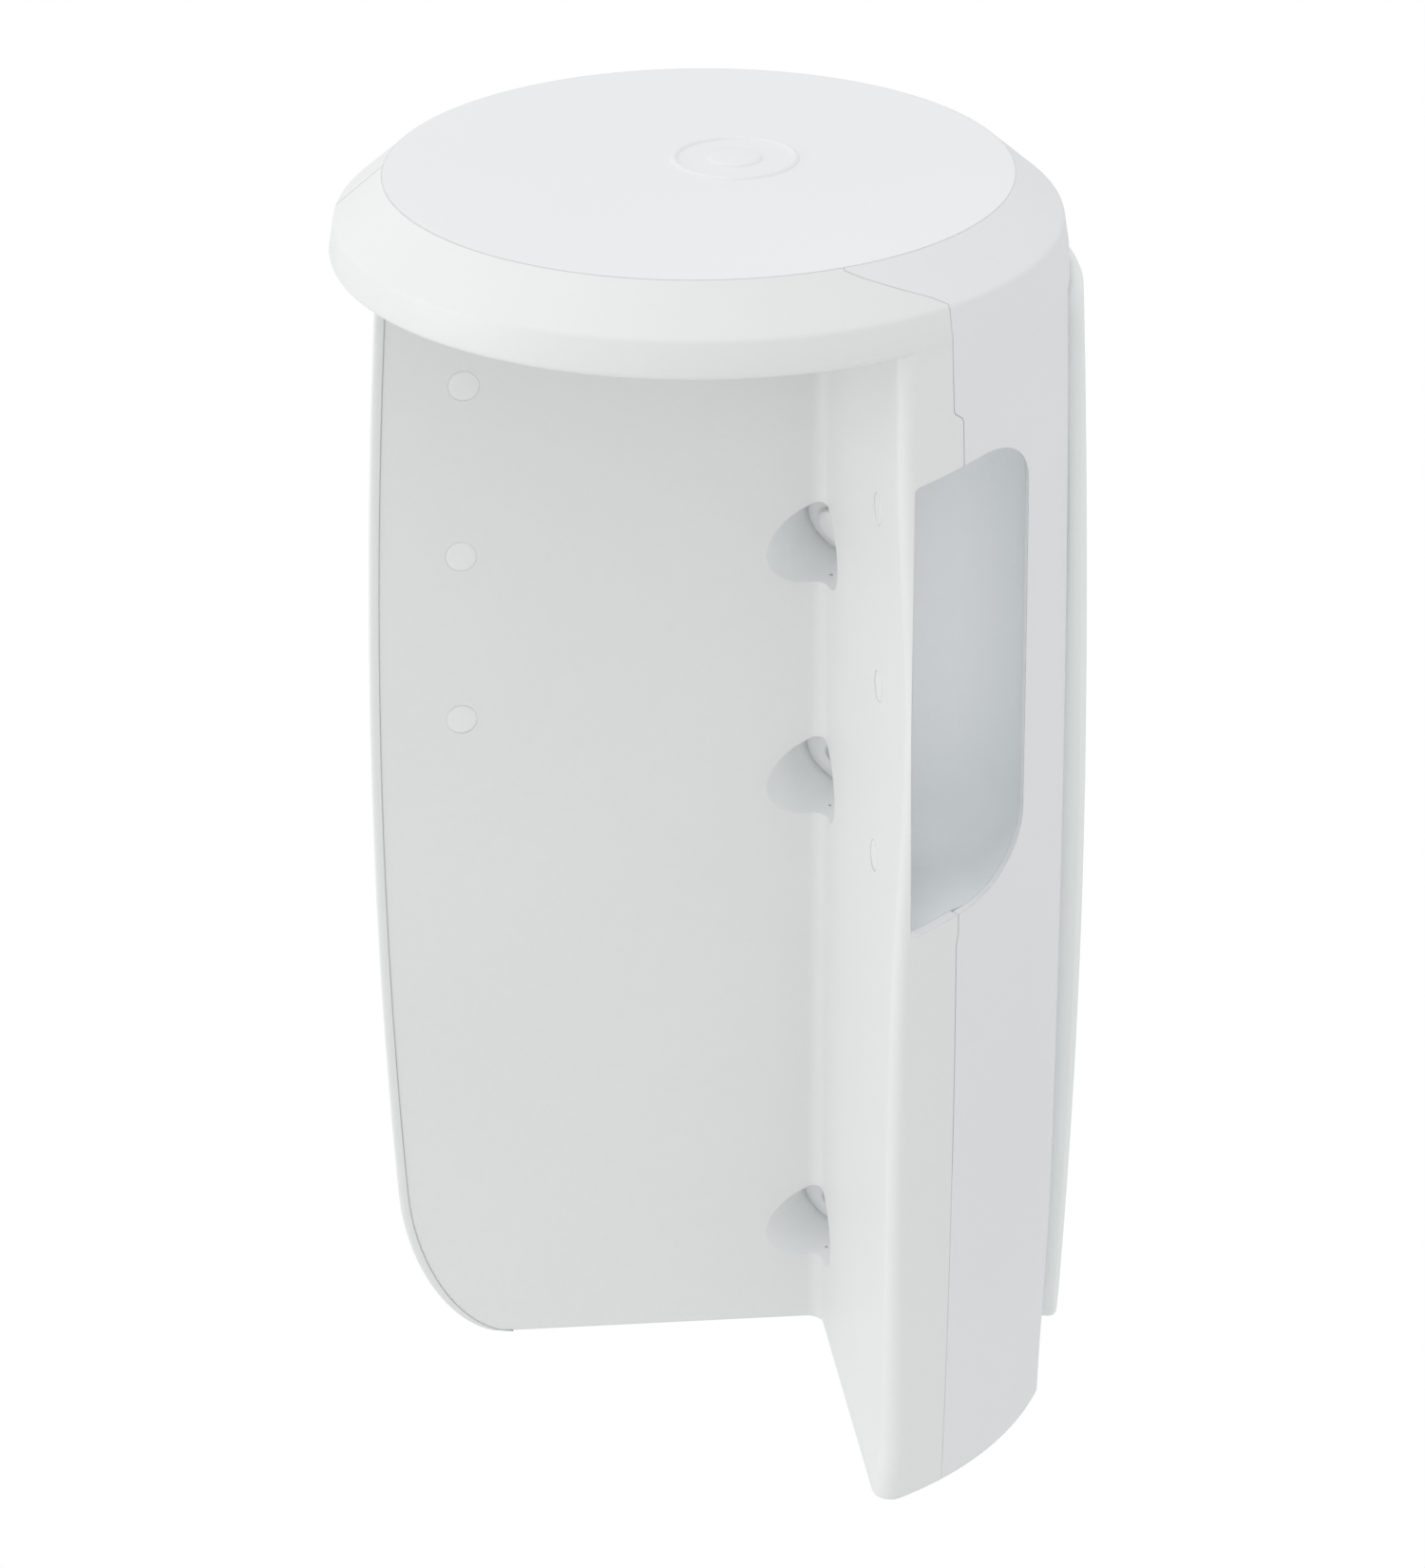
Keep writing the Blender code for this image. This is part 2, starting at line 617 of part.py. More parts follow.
def build_bottom_cover():
    """Bottom cover of the right hand body."""
    def bend(u, v, z):
        x0 = CORNER_X + WALL + 4.4
        x = x0 + (flank_x(z) - 3.4 - x0) * u
        r = body_r(z) - WALL - GAP - 0.5
        front_y = -math.sqrt(r * r - x * x)
        return x, front_y + (-1.0 - front_y) * v, z

    cover = bent_box(steps(0.0, 1.0, 10), (0.0, 1.0), (1.2, 3.6), bend, "bottom_cover")
    paint(cover, "white", CUP_WHITE, roughness=0.5)


def build_fixing_spine():
    """Upright bar inside the housing, square in plan to the slanted screws it takes."""
    yaw = math.atan2(-POCKET_AXIS.y, -POCKET_AXIS.x)
    dx, dy = math.cos(yaw), math.sin(yaw)

    def bend(u, v, z):
        far = SPINE_NEAR + SPINE_DEPTH * v
        return CORNER_X + dx * far - dy * u, WEB_Y + dy * far + dx * u, z

    spine = bent_box((-SPINE_HALF_W, SPINE_HALF_W), (0.0, 1.0),
                     (POCKET_Z[2] - 8.0, POCKET_Z[0] + 26.0), bend, "fixing_spine")
    for z in POCKET_Z:
        cut(spine, pocket_rod(z, CLEARANCE_R, 10.0, 70.0, 16))
    paint(spine, "grey", SPINE_GREY, roughness=0.6)


def build_washer(number, z):
    """Seat washer with a countersink for the screw head."""
    washer = pocket_rod(z, WASHER_R, SEAT, SEAT - WASHER_T, 40, name=f"seat_washer_{number}")
    cut(washer,
        pocket_rod(z, CLEARANCE_R, SEAT + 3.0, SEAT - 5.0, 16),
        pocket_rod(z, 3.85, SEAT - WASHER_T - 0.1, SEAT + 0.1, 28, end_radius=2.4))
    paint(washer, "steel", STEEL, roughness=0.35, metallic=1.0)


def build_screw(number, z):
    """Slanted screw; its flat head is level with the washer and has a cross recess."""
    screw = pocket_rod(z, HEAD_R, HEAD, HEAD + HEAD_T, 28, end_radius=2.1,
                       name=f"slant_screw_{number}")
    join(screw, pocket_rod(z, SHANK_R, HEAD + 0.6, HEAD + SHANK_END, 16))
    across = POCKET_AXIS.cross(Vector((0, 0, 1))).normalized()
    upward = across.cross(POCKET_AXIS).normalized()
    centre = pocket_point(z, HEAD - 0.02)
    for direction in (across, upward):
        cut(screw, rod(0.5, centre - direction * 1.8, centre + direction * 1.8, 4))
    paint(screw, "steel", STEEL, roughness=0.3, metallic=1.0)


def build_screw_cap():
    """The one fitted screw cap, a hollow disc with a domed face, on the top screw."""
    z = POCKET_Z[0]
    cap = pocket_rod(z, CAP_R, CAP_BASE, CAP_BASE - CAP_RIM_T, 36, name="screw_cap")
    cut(cap, pocket_rod(z, 3.9, CAP_BASE + 1.0, CAP_BASE - 0.4, 28))
    join(cap, pocket_rod(z, 4.85, CAP_BASE - 0.8, CAP_BASE - 1.6, 36, end_radius=3.8))
    paint(cap, "white", SHELL_WHITE, roughness=0.35)


def build_plugs():
    """Flush plugs in the bay walls."""
    plugs = []
    for number, (x, z) in enumerate(WEB_PLUGS, 1):
        plugs.append(rod(PLUG_R, (x, WEB_Y, z), (x, WEB_Y + WALL, z), 28,
                         name=f"web_plug_{number}"))
    for number, (y, z) in enumerate(SIDE_PLUGS, 1):
        x = short_wall_x(y, z)
        plugs.append(rod(PLUG_R, (x, y, z), (x + SIDE_PLUG_T, y, z), 28,
                         name=f"side_plug_{number}"))
    for plug in plugs:
        paint(plug, "white", SHELL_WHITE, roughness=0.4)


def build_wall_cradle():
    """Curved shell round the rear right, with a hollow back plate on the wall."""
    def bend(u, v, w):
        z = CRADLE_Z0 + (CRADLE_Z1 - CRADLE_Z0) * w
        # the front edge pulls back near top and bottom to round its corners
        pull = 0.0
        corner = CRADLE_CORNER_R
        for d in (z - CRADLE_Z0, CRADLE_Z1 - z):
            if d < corner:
                pull = max(pull, corner - math.sqrt(max(0.0, corner ** 2 - (corner - d) ** 2)))
        start = CRADLE_PHI0 + 4.5 * smooth((z - 215.0) / 55.0) + degrees_of(pull, 86.0)
        x, y = polar(cradle_r(z) - CRADLE_T * v, start + (CRADLE_PHI1 - start) * u)
        return x, y, z

    around = [0.0, 0.012, 0.03] + steps(0.055, 1.0, 28)
    upward = ([0.0, 0.004, 0.012, 0.0265] + steps(0.06, 0.94, 12)
              + [0.9735, 0.988, 0.996, 1.0])
    cradle = bent_box(around, (0.0, 1.0), upward, bend, "wall_cradle")
    back = block(-BACK_HALF_W, BACK_HALF_W, 71.0, BACK_Y1, BACK_Z0, BACK_Z1)
    # clear the round space inside the cradle
    cut(back, sector(lambda z: (1.0, cradle_r(z) - CRADLE_T + 0.4), 140.0, 220.0, 16,
                     steps(20.0, 270.0, 10)))
    join(cradle, back)
    half_w = BACK_HALF_W - CRADLE_T
    cut(cradle, block(-half_w, half_w, 60.0, BACK_Y0, BACK_Z0 + CRADLE_T, BACK_Z1 - CRADLE_T))
    # four countersunk holes
    for x in (-27.0, 27.0):
        for z in (60.0, 215.0):
            cut(cradle,
                rod(2.6, (x, 80.0, z), (x, 95.0, z), 20),
                rod(5.2, (x, BACK_Y0 - 1.0, z), (x, BACK_Y0 + 3.4, z), 24, end_radius=2.2))
    paint(cradle, "white", PANEL_WHITE, roughness=0.45)


def build_cradle_rests():
    """Resilient rests between cradle and barrel."""
    for level, z0, z1 in (("lower", 52.0, 70.0), ("upper", 190.0, 208.0)):
        for side, phi_a, phi_b in (("right", 108.0, 146.0), ("left", 211.0, 229.0)):
            rest = sector(lambda z: (cradle_r(z) - CRADLE_T - GAP, PAD_INNER_R),
                          phi_a, phi_b, 8, steps(z0, z1, 2), f"cradle_rest_{level}_{side}")
            paint(rest, "rubber", RUBBER, roughness=0.8)


def build_hanger_bar():
    """Bar across the cradle's back, on two feet."""
    bar = block(-33.0, 33.0, 77.3, 80.6, HANG_Z, HANG_Z + BAR_H, "hanger_bar")
    for x0, x1 in ((-32.9, -29.0), (29.0, 32.9)):
        join(bar, block(x0, x1, 79.0, BACK_Y0 - GAP, HANG_Z + 0.1, HANG_Z + BAR_H - 0.1))
    paint(bar, "steel", STEEL, roughness=0.4, metallic=1.0)


build_front_shell()
build_side_shell()
build_rear_barrel()
build_top_cover()
build_grip_cup()
build_bottom_cover()
build_fixing_spine()
for screw_number, screw_z in enumerate(POCKET_Z, 1):
    build_washer(screw_number, screw_z)
    build_screw(screw_number, screw_z)
build_screw_cap()
build_plugs()
build_wall_cradle()
build_cradle_rests()
build_hanger_bar()

# move the origin from the foot of the cap's centre line to the wall face
for piece in parts.objects:
    piece.data.transform(Matrix.Translation(Vector((0.0, -BACK_Y1 * MM, -ORIGIN_Z * MM))))
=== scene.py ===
# A white round housing, 300 mm tall, standing upright in a cradle that hangs on a wall.
# +Z is up, +X is right, -Y is the front. The frame's origin lies on the wall face, 150 mm
# above the housing's foot. Pieces are built in mm about the cap's centre line, foot at z = 0,
# and moved into the frame at the end. Angles phi run from the front (-Y) towards the right.
# Below the cap the front left quarter is cut away: a flat web runs from the left edge to a
# corner, and a short wall runs forward from there. Slanted screw pockets sit in the corner.
import bpy
import bmesh
import math
from mathutils import Matrix, Vector


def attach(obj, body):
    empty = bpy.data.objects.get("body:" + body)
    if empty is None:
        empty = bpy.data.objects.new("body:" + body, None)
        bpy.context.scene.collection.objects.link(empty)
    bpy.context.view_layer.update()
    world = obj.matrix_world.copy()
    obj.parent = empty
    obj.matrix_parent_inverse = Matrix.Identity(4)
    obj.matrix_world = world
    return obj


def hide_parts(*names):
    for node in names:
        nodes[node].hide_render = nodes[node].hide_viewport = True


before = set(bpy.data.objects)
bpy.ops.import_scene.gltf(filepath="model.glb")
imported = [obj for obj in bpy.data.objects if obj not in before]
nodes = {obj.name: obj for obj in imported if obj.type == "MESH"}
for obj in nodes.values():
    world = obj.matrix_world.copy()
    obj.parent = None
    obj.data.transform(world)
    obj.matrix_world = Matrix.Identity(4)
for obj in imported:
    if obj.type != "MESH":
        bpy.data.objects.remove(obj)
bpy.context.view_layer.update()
root = bpy.context.scene.collection
MM = 0.001

# ------------------------------------------------------- sizes (mm, degrees)
GAP = 0.3
HEIGHT = 300.0
CAP_FACE_R = 68.5
RIM_TOP_Z, RIM_TOP_R = 290.7, 79.4
RIM_BOTTOM_Z = 282.6
WALL = 2.8
SKIN = 2.2
FLANK_WALL = 1.9
# radius = MAX - BOW * (z - Z)^2
BODY_R_MAX, BODY_R_BOW, BODY_R_Z = 85.7, 1.45e-4, 95.0
BARREL_R_MAX, BARREL_R_BOW, BARREL_R_Z = 76.4, 2.81e-4, 135.0
BARREL_FOOT_H, BARREL_FOOT_W = 45.0, 21.6
WEB_Y = 1.4
CORNER_X = 28.8
CORNER_FILLET = 3.6
ROOT_Y = WEB_Y - CORNER_FILLET      # where the short wall leaves the fillet
SEAM_PHI, SEAM_TOP_PHI = 33.2, 17.8
SEAM_STEP = 0.5
COLLAR_END_PHI = 104.0
RING_LEFT_PHI = -100.0
FLANK_X = 77.2
COLLAR_Z = 276.8
GRIP_X0, GRIP_X1 = 35.0, 63.6
GRIP_Z0, GRIP_Z1 = 148.9, 253.5
GRIP_LEAN = 0.15                    # rise of the recess outline per mm to the right
GRIP_Y = -38.0
GRIP_TOP_R = 13.0
GRIP_BOTTOM_R = GRIP_TOP_R + 2.0
FOOT_LIFT, FOOT_LIFT_X, FOOT_LIFT_H = 0.0385, 28.0, 40.0
POCKET_Z = (209.8, 150.8, 28.9)
POCKET_R = 9.3
POCKET_DEPTH = 6.3
POCKET_DIR = Vector((-0.683, -0.649, -0.333)).normalized()      # out of the pocket
SEAT = -(POCKET_DEPTH - GAP)        # underside of the washers, along POCKET_DIR
WASHER_T = 0.9
PLUG_R = 3.5
WEB_PLUGS = ((-52.3, 251.8), (-54.1, 210.8), (-55.1, 170.2))    # x, z
SIDE_PLUGS = ((-51.7, 239.8), (-49.6, 196.7), (-52.8, 156.8))   # y, z
CRADLE_T = 3.4
CRADLE_PHI0, CRADLE_PHI1 = 69.6, 231.0
CRADLE_Z0, CRADLE_Z1 = 12.0, 276.0
BACK_Y0, BACK_Y1 = 84.0, 92.0
BACK_HALF_W = 40.0
HANG_Z = 236.0


# ------------------------------------------------------------------- numbers
def detail(full):
    return full


def polar(radius, phi):
    angle = math.radians(phi)
    return radius * math.sin(angle), -radius * math.cos(angle)


def lerp(start, end, t):
    return start + (end - start) * t


def smooth(t):
    t = min(1.0, max(0.0, t))
    return t * t * (3.0 - 2.0 * t)


def degrees_of(arc, radius):
    return math.degrees(arc / radius)


def edge_pull(dist, radius):
    """How far a face draws back at distance dist from a corner of this radius."""
    if dist >= radius:
        return 0.0
    return radius - math.sqrt(max(0.0, radius * radius - (radius - dist) ** 2))


def heights(top, pitch):
    """Heights from 0 to top, closer at the rounded foot and where the seam shifts."""
    levels = []
    z = 0.0
    while z < top - 1e-6:
        levels.append(z)
        if z < 4.0:
            z += 0.5
        elif z < 16.0:
            z += 1.2
        elif 140.0 < z < 150.0:
            z += 1.4
        elif 254.0 < z < 270.0:
            z += 0.8
        else:
            z += pitch
    levels.append(top)
    return levels


PITCH = detail(3.4)


# -------------------------------------------------------------- mesh helpers
def from_bmesh(name, mesh):
    """Object from a closed bmesh, faces outward."""
    bmesh.ops.recalc_face_normals(mesh, faces=mesh.faces)
    if mesh.calc_volume(signed=True) < 0.0:
        bmesh.ops.reverse_faces(mesh, faces=mesh.faces)
    data = bpy.data.meshes.new(name)
    mesh.to_mesh(data)
    mesh.free()
    obj = bpy.data.objects.new(name, data)
    root.objects.link(obj)
    return obj


def grid_solid(name, nu, nv, nw, place):
    """Closed block of nu x nv x nw cells bent by place(i, j, k), in mm."""
    mesh = bmesh.new()
    cache = {}

    def vert(i, j, k):
        key = (i, j, k)
        if key not in cache:
            x, y, z = place(i, j, k)
            cache[key] = mesh.verts.new((x * MM, y * MM, z * MM))
        return cache[key]

    def quad(*corners):
        mesh.faces.new([vert(*corner) for corner in corners])

    for j in range(nv):
        for k in range(nw):
            quad((0, j, k), (0, j, k + 1), (0, j + 1, k + 1), (0, j + 1, k))
            quad((nu, j, k), (nu, j + 1, k), (nu, j + 1, k + 1), (nu, j, k + 1))
    for i in range(nu):
        for k in range(nw):
            quad((i, 0, k), (i + 1, 0, k), (i + 1, 0, k + 1), (i, 0, k + 1))
            quad((i, nv, k), (i, nv, k + 1), (i + 1, nv, k + 1), (i + 1, nv, k))
    for i in range(nu):
        for j in range(nv):
            quad((i, j, 0), (i, j + 1, 0), (i + 1, j + 1, 0), (i + 1, j, 0))
            quad((i, j, nw), (i + 1, j, nw), (i + 1, j + 1, nw), (i, j + 1, nw))
    bmesh.ops.remove_doubles(mesh, verts=mesh.verts, dist=1e-7)
    return from_bmesh(name, mesh)


def block(name, x0, x1, y0, y1, z0, z1):
    return grid_solid(name, 1, 1, 1,
                      lambda i, j, k: ((x0, x1)[i], (y0, y1)[j], (z0, z1)[k]))


def arc_slab(name, count, radii, phis, levels):
    """Flat slab between two radii, two angles and two heights."""
    def place(i, j, k):
        x, y = polar(lerp(*radii, j), lerp(*phis, i / count))
        return x, y, levels[k]
    return grid_solid(name, count, 1, 1, place)


def rod(name, radius, start, end, seg, end_radius=None):
    """Cylinder, or cone if end_radius is given, between two points in mm."""
    start, end = Vector(start), Vector(end)
    span = end - start
    mesh = bmesh.new()
    bmesh.ops.create_cone(mesh, cap_ends=True, cap_tris=False, segments=seg,
                          radius1=radius * MM,
                          radius2=(radius if end_radius is None else end_radius) * MM,
                          depth=span.length * MM)
    turn = span.to_track_quat('Z', 'Y').to_matrix().to_4x4()
    bmesh.ops.transform(mesh, matrix=Matrix.Translation((start + end) * 0.5 * MM) @ turn,
                        verts=mesh.verts)
    return from_bmesh(name, mesh)


def lathe(name, profile, origin, axis, seg):
    """Solid turned from (radius, distance along axis) points, first and last on the axis."""
    axis = Vector(axis).normalized()
    side = axis.orthogonal().normalized()
    up = axis.cross(side)
    mesh = bmesh.new()
    rings = []
    for radius, dist in profile:
        centre = Vector(origin) + axis * dist
        if radius < 1e-6:
            rings.append([mesh.verts.new(centre * MM)])
            continue
        ring = []
        for s in range(seg):
            angle = 2.0 * math.pi * s / seg
            ring.append(mesh.verts.new((centre + side * (radius * math.cos(angle))
                                        + up * (radius * math.sin(angle))) * MM))
        rings.append(ring)
    for low, high in zip(rings[:-1], rings[1:]):
        for s in range(max(len(low), len(high))):
            # a ring on the axis is a single vertex, so quads there become triangles
            corners = []
            for vert in (low[s % len(low)], low[(s + 1) % len(low)],
                         high[(s + 1) % len(high)], high[s % len(high)]):
                if vert not in corners:
                    corners.append(vert)
            if len(corners) > 2:
                mesh.faces.new(corners)
    return from_bmesh(name, mesh)


def skin(name, loops, ends):
    """Skin over equal loops of points in metres.

    ends is 'first' or 'last', the place of the end faces in the face order,
    or 'joined' where the last loop meets the first.
    """
    mesh = bmesh.new()
    rings = [[mesh.verts.new(point) for point in loop] for loop in loops]
    following = rings[1:] + (rings[:1] if ends == 'joined' else [])
    count = len(rings[0])
    sides = [(low[k], low[(k + 1) % count], high[(k + 1) % count], high[k])
             for low, high in zip(rings, following) for k in range(count)]
    caps = [rings[0], rings[-1][::-1]]
    for face in {'first': caps + sides, 'last': sides + caps, 'joined': sides}[ends]:
        mesh.faces.new(face)
    return from_bmesh(name, mesh)


def apply_modifiers(obj):
    graph = bpy.context.evaluated_depsgraph_get()
    data = bpy.data.meshes.new_from_object(obj.evaluated_get(graph))
    obj.modifiers.clear()
    old = obj.data
    obj.data = data
    bpy.data.meshes.remove(old)


def combine(obj, other, operation):
    """Boolean obj with other, which is used up."""
    boolean = obj.modifiers.new("b", 'BOOLEAN')
    boolean.operation = operation
    boolean.solver = 'EXACT'
    boolean.object = other
    apply_modifiers(obj)
    mesh = bmesh.new()
    mesh.from_mesh(obj.data)
    bmesh.ops.remove_doubles(mesh, verts=mesh.verts, dist=1e-6)
    bmesh.ops.dissolve_degenerate(mesh, dist=1e-6, edges=mesh.edges)
    mesh.to_mesh(obj.data)
    mesh.free()
    bpy.data.objects.remove(other, do_unlink=True)


def join_solid(obj, other):
    combine(obj, other, 'UNION')


def cut(obj, other):
    combine(obj, other, 'DIFFERENCE')


# ------------------------------------------------------------------ materials
def feed(tree, target, inputs):
    """Set inputs, by name or number, to values or to sockets they are linked from."""
    for key, value in inputs.items():
        if isinstance(value, bpy.types.NodeSocket):
            tree.links.new(value, target.inputs[key])
        else:
            target.inputs[key].default_value = value


def node(tree, kind, inputs=None, **settings):
    made = tree.nodes.new("ShaderNode" + kind)
    for key, value in settings.items():
        setattr(made, key, value)
    feed(tree, made, inputs or {})
    return made


def noise(tree, coords, **settings):
    return node(tree, "TexNoise", {"Vector": coords, **settings}).outputs["Fac"]


def ramp(tree, factor, low, high, low_at=0.0, high_at=1.0):
    made = node(tree, "ValToRGB", {"Fac": factor})
    for stop, colour, place in zip(made.color_ramp.elements, (low, high), (low_at, high_at)):
        stop.position = place
        stop.color = (*colour, 1.0)
    return made.outputs["Color"]


def new_material(name):
    """Material with only a Principled shader and its output."""
    material = bpy.data.materials.new(name)
    material.use_nodes = True
    tree = material.node_tree
    tree.nodes.clear()
    output = node(tree, "OutputMaterial")
    shader = node(tree, "BsdfPrincipled")
    tree.links.new(shader.outputs["BSDF"], output.inputs["Surface"])
    return material, tree, shader, output


def plastic(name, light, dark, rough=0.42, grain=2600.0, flow=0.5, edge=0.45):
    """Moulded plastic. grain: pit scale, flow: weight of the slow waves, edge: rounding in mm."""
    material, tree, shader, _ = new_material(name)
    coords = node(tree, "TexCoord").outputs["Object"]
    # slow tone drift, with a little fine pigment speckle
    drift = noise(tree, coords, Scale=9.0, Detail=3.0, Roughness=0.45)
    speckle = noise(tree, coords, Scale=900.0, Detail=2.0)
    tone = node(tree, "Mix", {0: 0.22, 2: drift, 3: speckle}, data_type='FLOAT')
    colour = ramp(tree, tone.outputs[0], dark, light, low_at=0.30, high_at=0.70)
    # soft handling marks in the roughness
    marks = noise(tree, coords, Scale=38.0, Detail=5.0, Distortion=0.6)
    roughness = node(tree, "MapRange", {"Value": marks, "From Min": 0.3, "From Max": 0.7,
                                        "To Min": rough - 0.05, "To Max": rough + 0.06})
    # tiny pits of the eroded mould over slow waves, on softened edges
    pits = node(tree, "TexVoronoi", {"Scale": grain, "Vector": coords})
    waves = noise(tree, coords, Scale=120.0, Detail=4.0)
    relief = node(tree, "Math", {0: waves, 1: flow, 2: pits.outputs["Distance"]},
                  operation='MULTIPLY_ADD')
    bevel = node(tree, "Bevel", {"Radius": edge * MM}, samples=6)
    bump = node(tree, "Bump", {"Strength": 0.16, "Distance": 0.06 * MM,
                               "Height": relief.outputs[0], "Normal": bevel.outputs["Normal"]})
    feed(tree, shader, {"Base Color": colour, "Roughness": roughness.outputs["Result"],
                        "Normal": bump.outputs["Normal"]})
    return material


def steel(name):
    material, tree, shader, _ = new_material(name)
    coords = node(tree, "TexCoord").outputs["Object"]
    mottle = noise(tree, coords, Scale=260.0, Detail=6.0)
    colour = ramp(tree, mottle, low=(0.72 * 0.82, 0.73 * 0.83, 0.74 * 0.86),
                  high=(0.72, 0.73, 0.74))
    roughness = node(tree, "MapRange", {"Value": mottle, "To Min": 0.24, "To Max": 0.44})
    bump = node(tree, "Bump", {"Strength": 0.15, "Distance": 0.03 * MM, "Height": mottle})
    feed(tree, shader, {"Base Color": colour, "Roughness": roughness.outputs["Result"],
                        "Normal": bump.outputs["Normal"], "Metallic": 1.0})
    return material


def rubber(name, base):
    material, tree, shader, _ = new_material(name)
    coords = node(tree, "TexCoord").outputs["Object"]
    mottle = noise(tree, coords, Scale=700.0, Detail=4.0)
    colour = ramp(tree, mottle, low=[c * 0.7 for c in base], high=[c * 1.2 for c in base])
    bump = node(tree, "Bump", {"Strength": 0.4, "Distance": 0.1 * MM, "Height": mottle})
    feed(tree, shader, {"Base Color": colour, "Normal": bump.outputs["Normal"],
                        "Roughness": 0.82})
    return material


FRONT_WHITE = plastic("moulded_white_front", light=(0.83, 0.842, 0.838), dark=(0.80, 0.814, 0.81))
SIDE_WHITE = plastic("moulded_white_side", light=(0.835, 0.842, 0.852), dark=(0.805, 0.813, 0.824))
REAR_WHITE = plastic("moulded_white_rear", light=(0.83, 0.84, 0.84), dark=(0.80, 0.812, 0.812),
                     rough=0.46)
TOP_WHITE = plastic("moulded_white_top", light=(0.85, 0.858, 0.872), dark=(0.825, 0.834, 0.85),
                    rough=0.36, grain=1900.0, edge=0.08)
# painted light: the hand recess cup is coloured lighter and tealer than the shells, to brighten
# the shaded inside of the recess
CUP_PAINTED_LIGHT = plastic("cup_white_painted_light", light=(0.88, 0.91, 0.92), dark=(0.855, 0.888, 0.90),
                    rough=0.5, edge=0.0)
# painted light and painted reflection: the white cradle is coloured brighter and tealer than the
# shells, standing in for light and reflected surroundings on it
CRADLE_PAINTED_LIGHT = plastic("cradle_white_painted_light", light=(0.87, 0.91, 0.90), dark=(0.845, 0.89, 0.88),
                       rough=0.5, edge=0.0, flow=0.3)
# painted light: the pocket faces of the front shell get a much lighter white than the rest of that
# shell, brightening the shaded pockets
POCKET_PAINTED_LIGHT = plastic("pocket_painted_light", light=(0.93, 0.945, 0.945),
                       dark=(0.905, 0.925, 0.925), rough=0.35, grain=3600.0)
# painted highlight: the cut faces round the hand recess opening get a near-white colour, lighter
# than the shells they belong to
GRIP_EDGE_PAINTED_HIGHLIGHT = plastic("grip_edge_painted_highlight", light=(0.95, 0.955, 0.96), dark=(0.925, 0.935, 0.94),
                    rough=0.4, edge=0.2)
PLUG_WHITE = plastic("moulded_white_plug", light=(0.875, 0.885, 0.885), dark=(0.85, 0.86, 0.86),
                     rough=0.34, grain=3200.0)
INNER = plastic("moulded_inner", light=(0.74, 0.76, 0.765), dark=(0.70, 0.72, 0.73), rough=0.55)
SPINE = plastic("moulded_spine", light=(0.46, 0.47, 0.48), dark=(0.42, 0.43, 0.44), rough=0.55)
STEEL = steel("zinc_plated_steel")
SEAT_WHITE = plastic("seat_washer_white", light=(0.90, 0.92, 0.92), dark=(0.87, 0.89, 0.89),
                     rough=0.4)
RUBBER = rubber("soft_rubber", base=(0.10, 0.15, 0.15))

MADE = []


def dress(obj, material, body, cad, angle=28.0):
    """Give a finished piece its material, shading and place in the frame."""
    MADE.append(obj)
    obj.data.materials.clear()
    obj.data.materials.append(material)
    obj.data.shade_smooth()
    obj.data.set_sharp_from_angle(angle=math.radians(angle))
    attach(obj, body)
    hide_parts(cad)


def paint(obj, material, chosen):
    """Add a material for the faces where chosen(face, centre in mm) holds."""
    obj.data.materials.append(material)
    last = len(obj.data.materials) - 1
    for face in obj.data.polygons:
        if chosen(face, face.center / MM):
            face.material_index = last


# --------------------------------------------------------------- body outline
def body_r(z):
    return BODY_R_MAX - BODY_R_BOW * (z - BODY_R_Z) ** 2


def barrel_r(z):
    radius = BARREL_R_MAX - BARREL_R_BOW * (z - BARREL_R_Z) ** 2
    if z < BARREL_FOOT_H:
        below = (BARREL_FOOT_H - z) / BARREL_FOOT_H
        radius -= BARREL_FOOT_W * (1.0 - math.sqrt(max(0.0, 1.0 - below * below)))
    return radius


def seam_body(z):
    """Angle of the joint between front and side shell, with a bulge below z = 268."""
    if z > 255.0:
        return SEAM_PHI - SEAM_STEP + 1.9 * smooth((268.0 - z) / 2.6)
    return SEAM_PHI - 0.4 * smooth((146.0 - z) / 3.0)


def seam_gap(z):
    return 0.015 + 0.10 * smooth((z - 80.0) / 14.0)


def sheet(name, plan, top, wall, steps, foot_round, end_round=0.0):
    """Upright wall. plan(z) lists (outer point, direction into the wall); steps are depths
    as parts of the wall."""
    levels = heights(top, PITCH)
    plans = [plan(z) for z in levels]

    def place(i, j, k):
        (x, y), (nx, ny) = plans[k][i]
        depth = wall * steps[j]
        z = levels[k]
        near = min(depth, wall - depth)
        if i == 0:
            x += edge_pull(near, end_round)
        if k == 0:
            z += edge_pull(near, foot_round)
        return x + nx * depth, y + ny * depth, z

    return grid_solid(name, len(plans[0]) - 1, len(steps) - 1, len(levels) - 1, place)


# ------------------------------------------------------------------- cap band
RIM_R = body_r(RIM_BOTTOM_Z)
BEVEL = math.atan2(HEIGHT - RIM_TOP_Z, RIM_TOP_R - CAP_FACE_R)
LIP_R = 1.5
KNEE_R = 1.5
FACE_EDGE_R = 0.8
BAND_TOP_T = 3.2


def quad_curve(start, pull, end, count):
    """Points of a quadratic curve from start to end, drawn towards pull."""
    points = []
    for k in range(count + 1):
        t = k / count
        points.append(tuple((1 - t) ** 2 * a + 2 * t * (1 - t) * b + t * t * c
                            for a, b, c in zip(start, pull, end)))
    return points


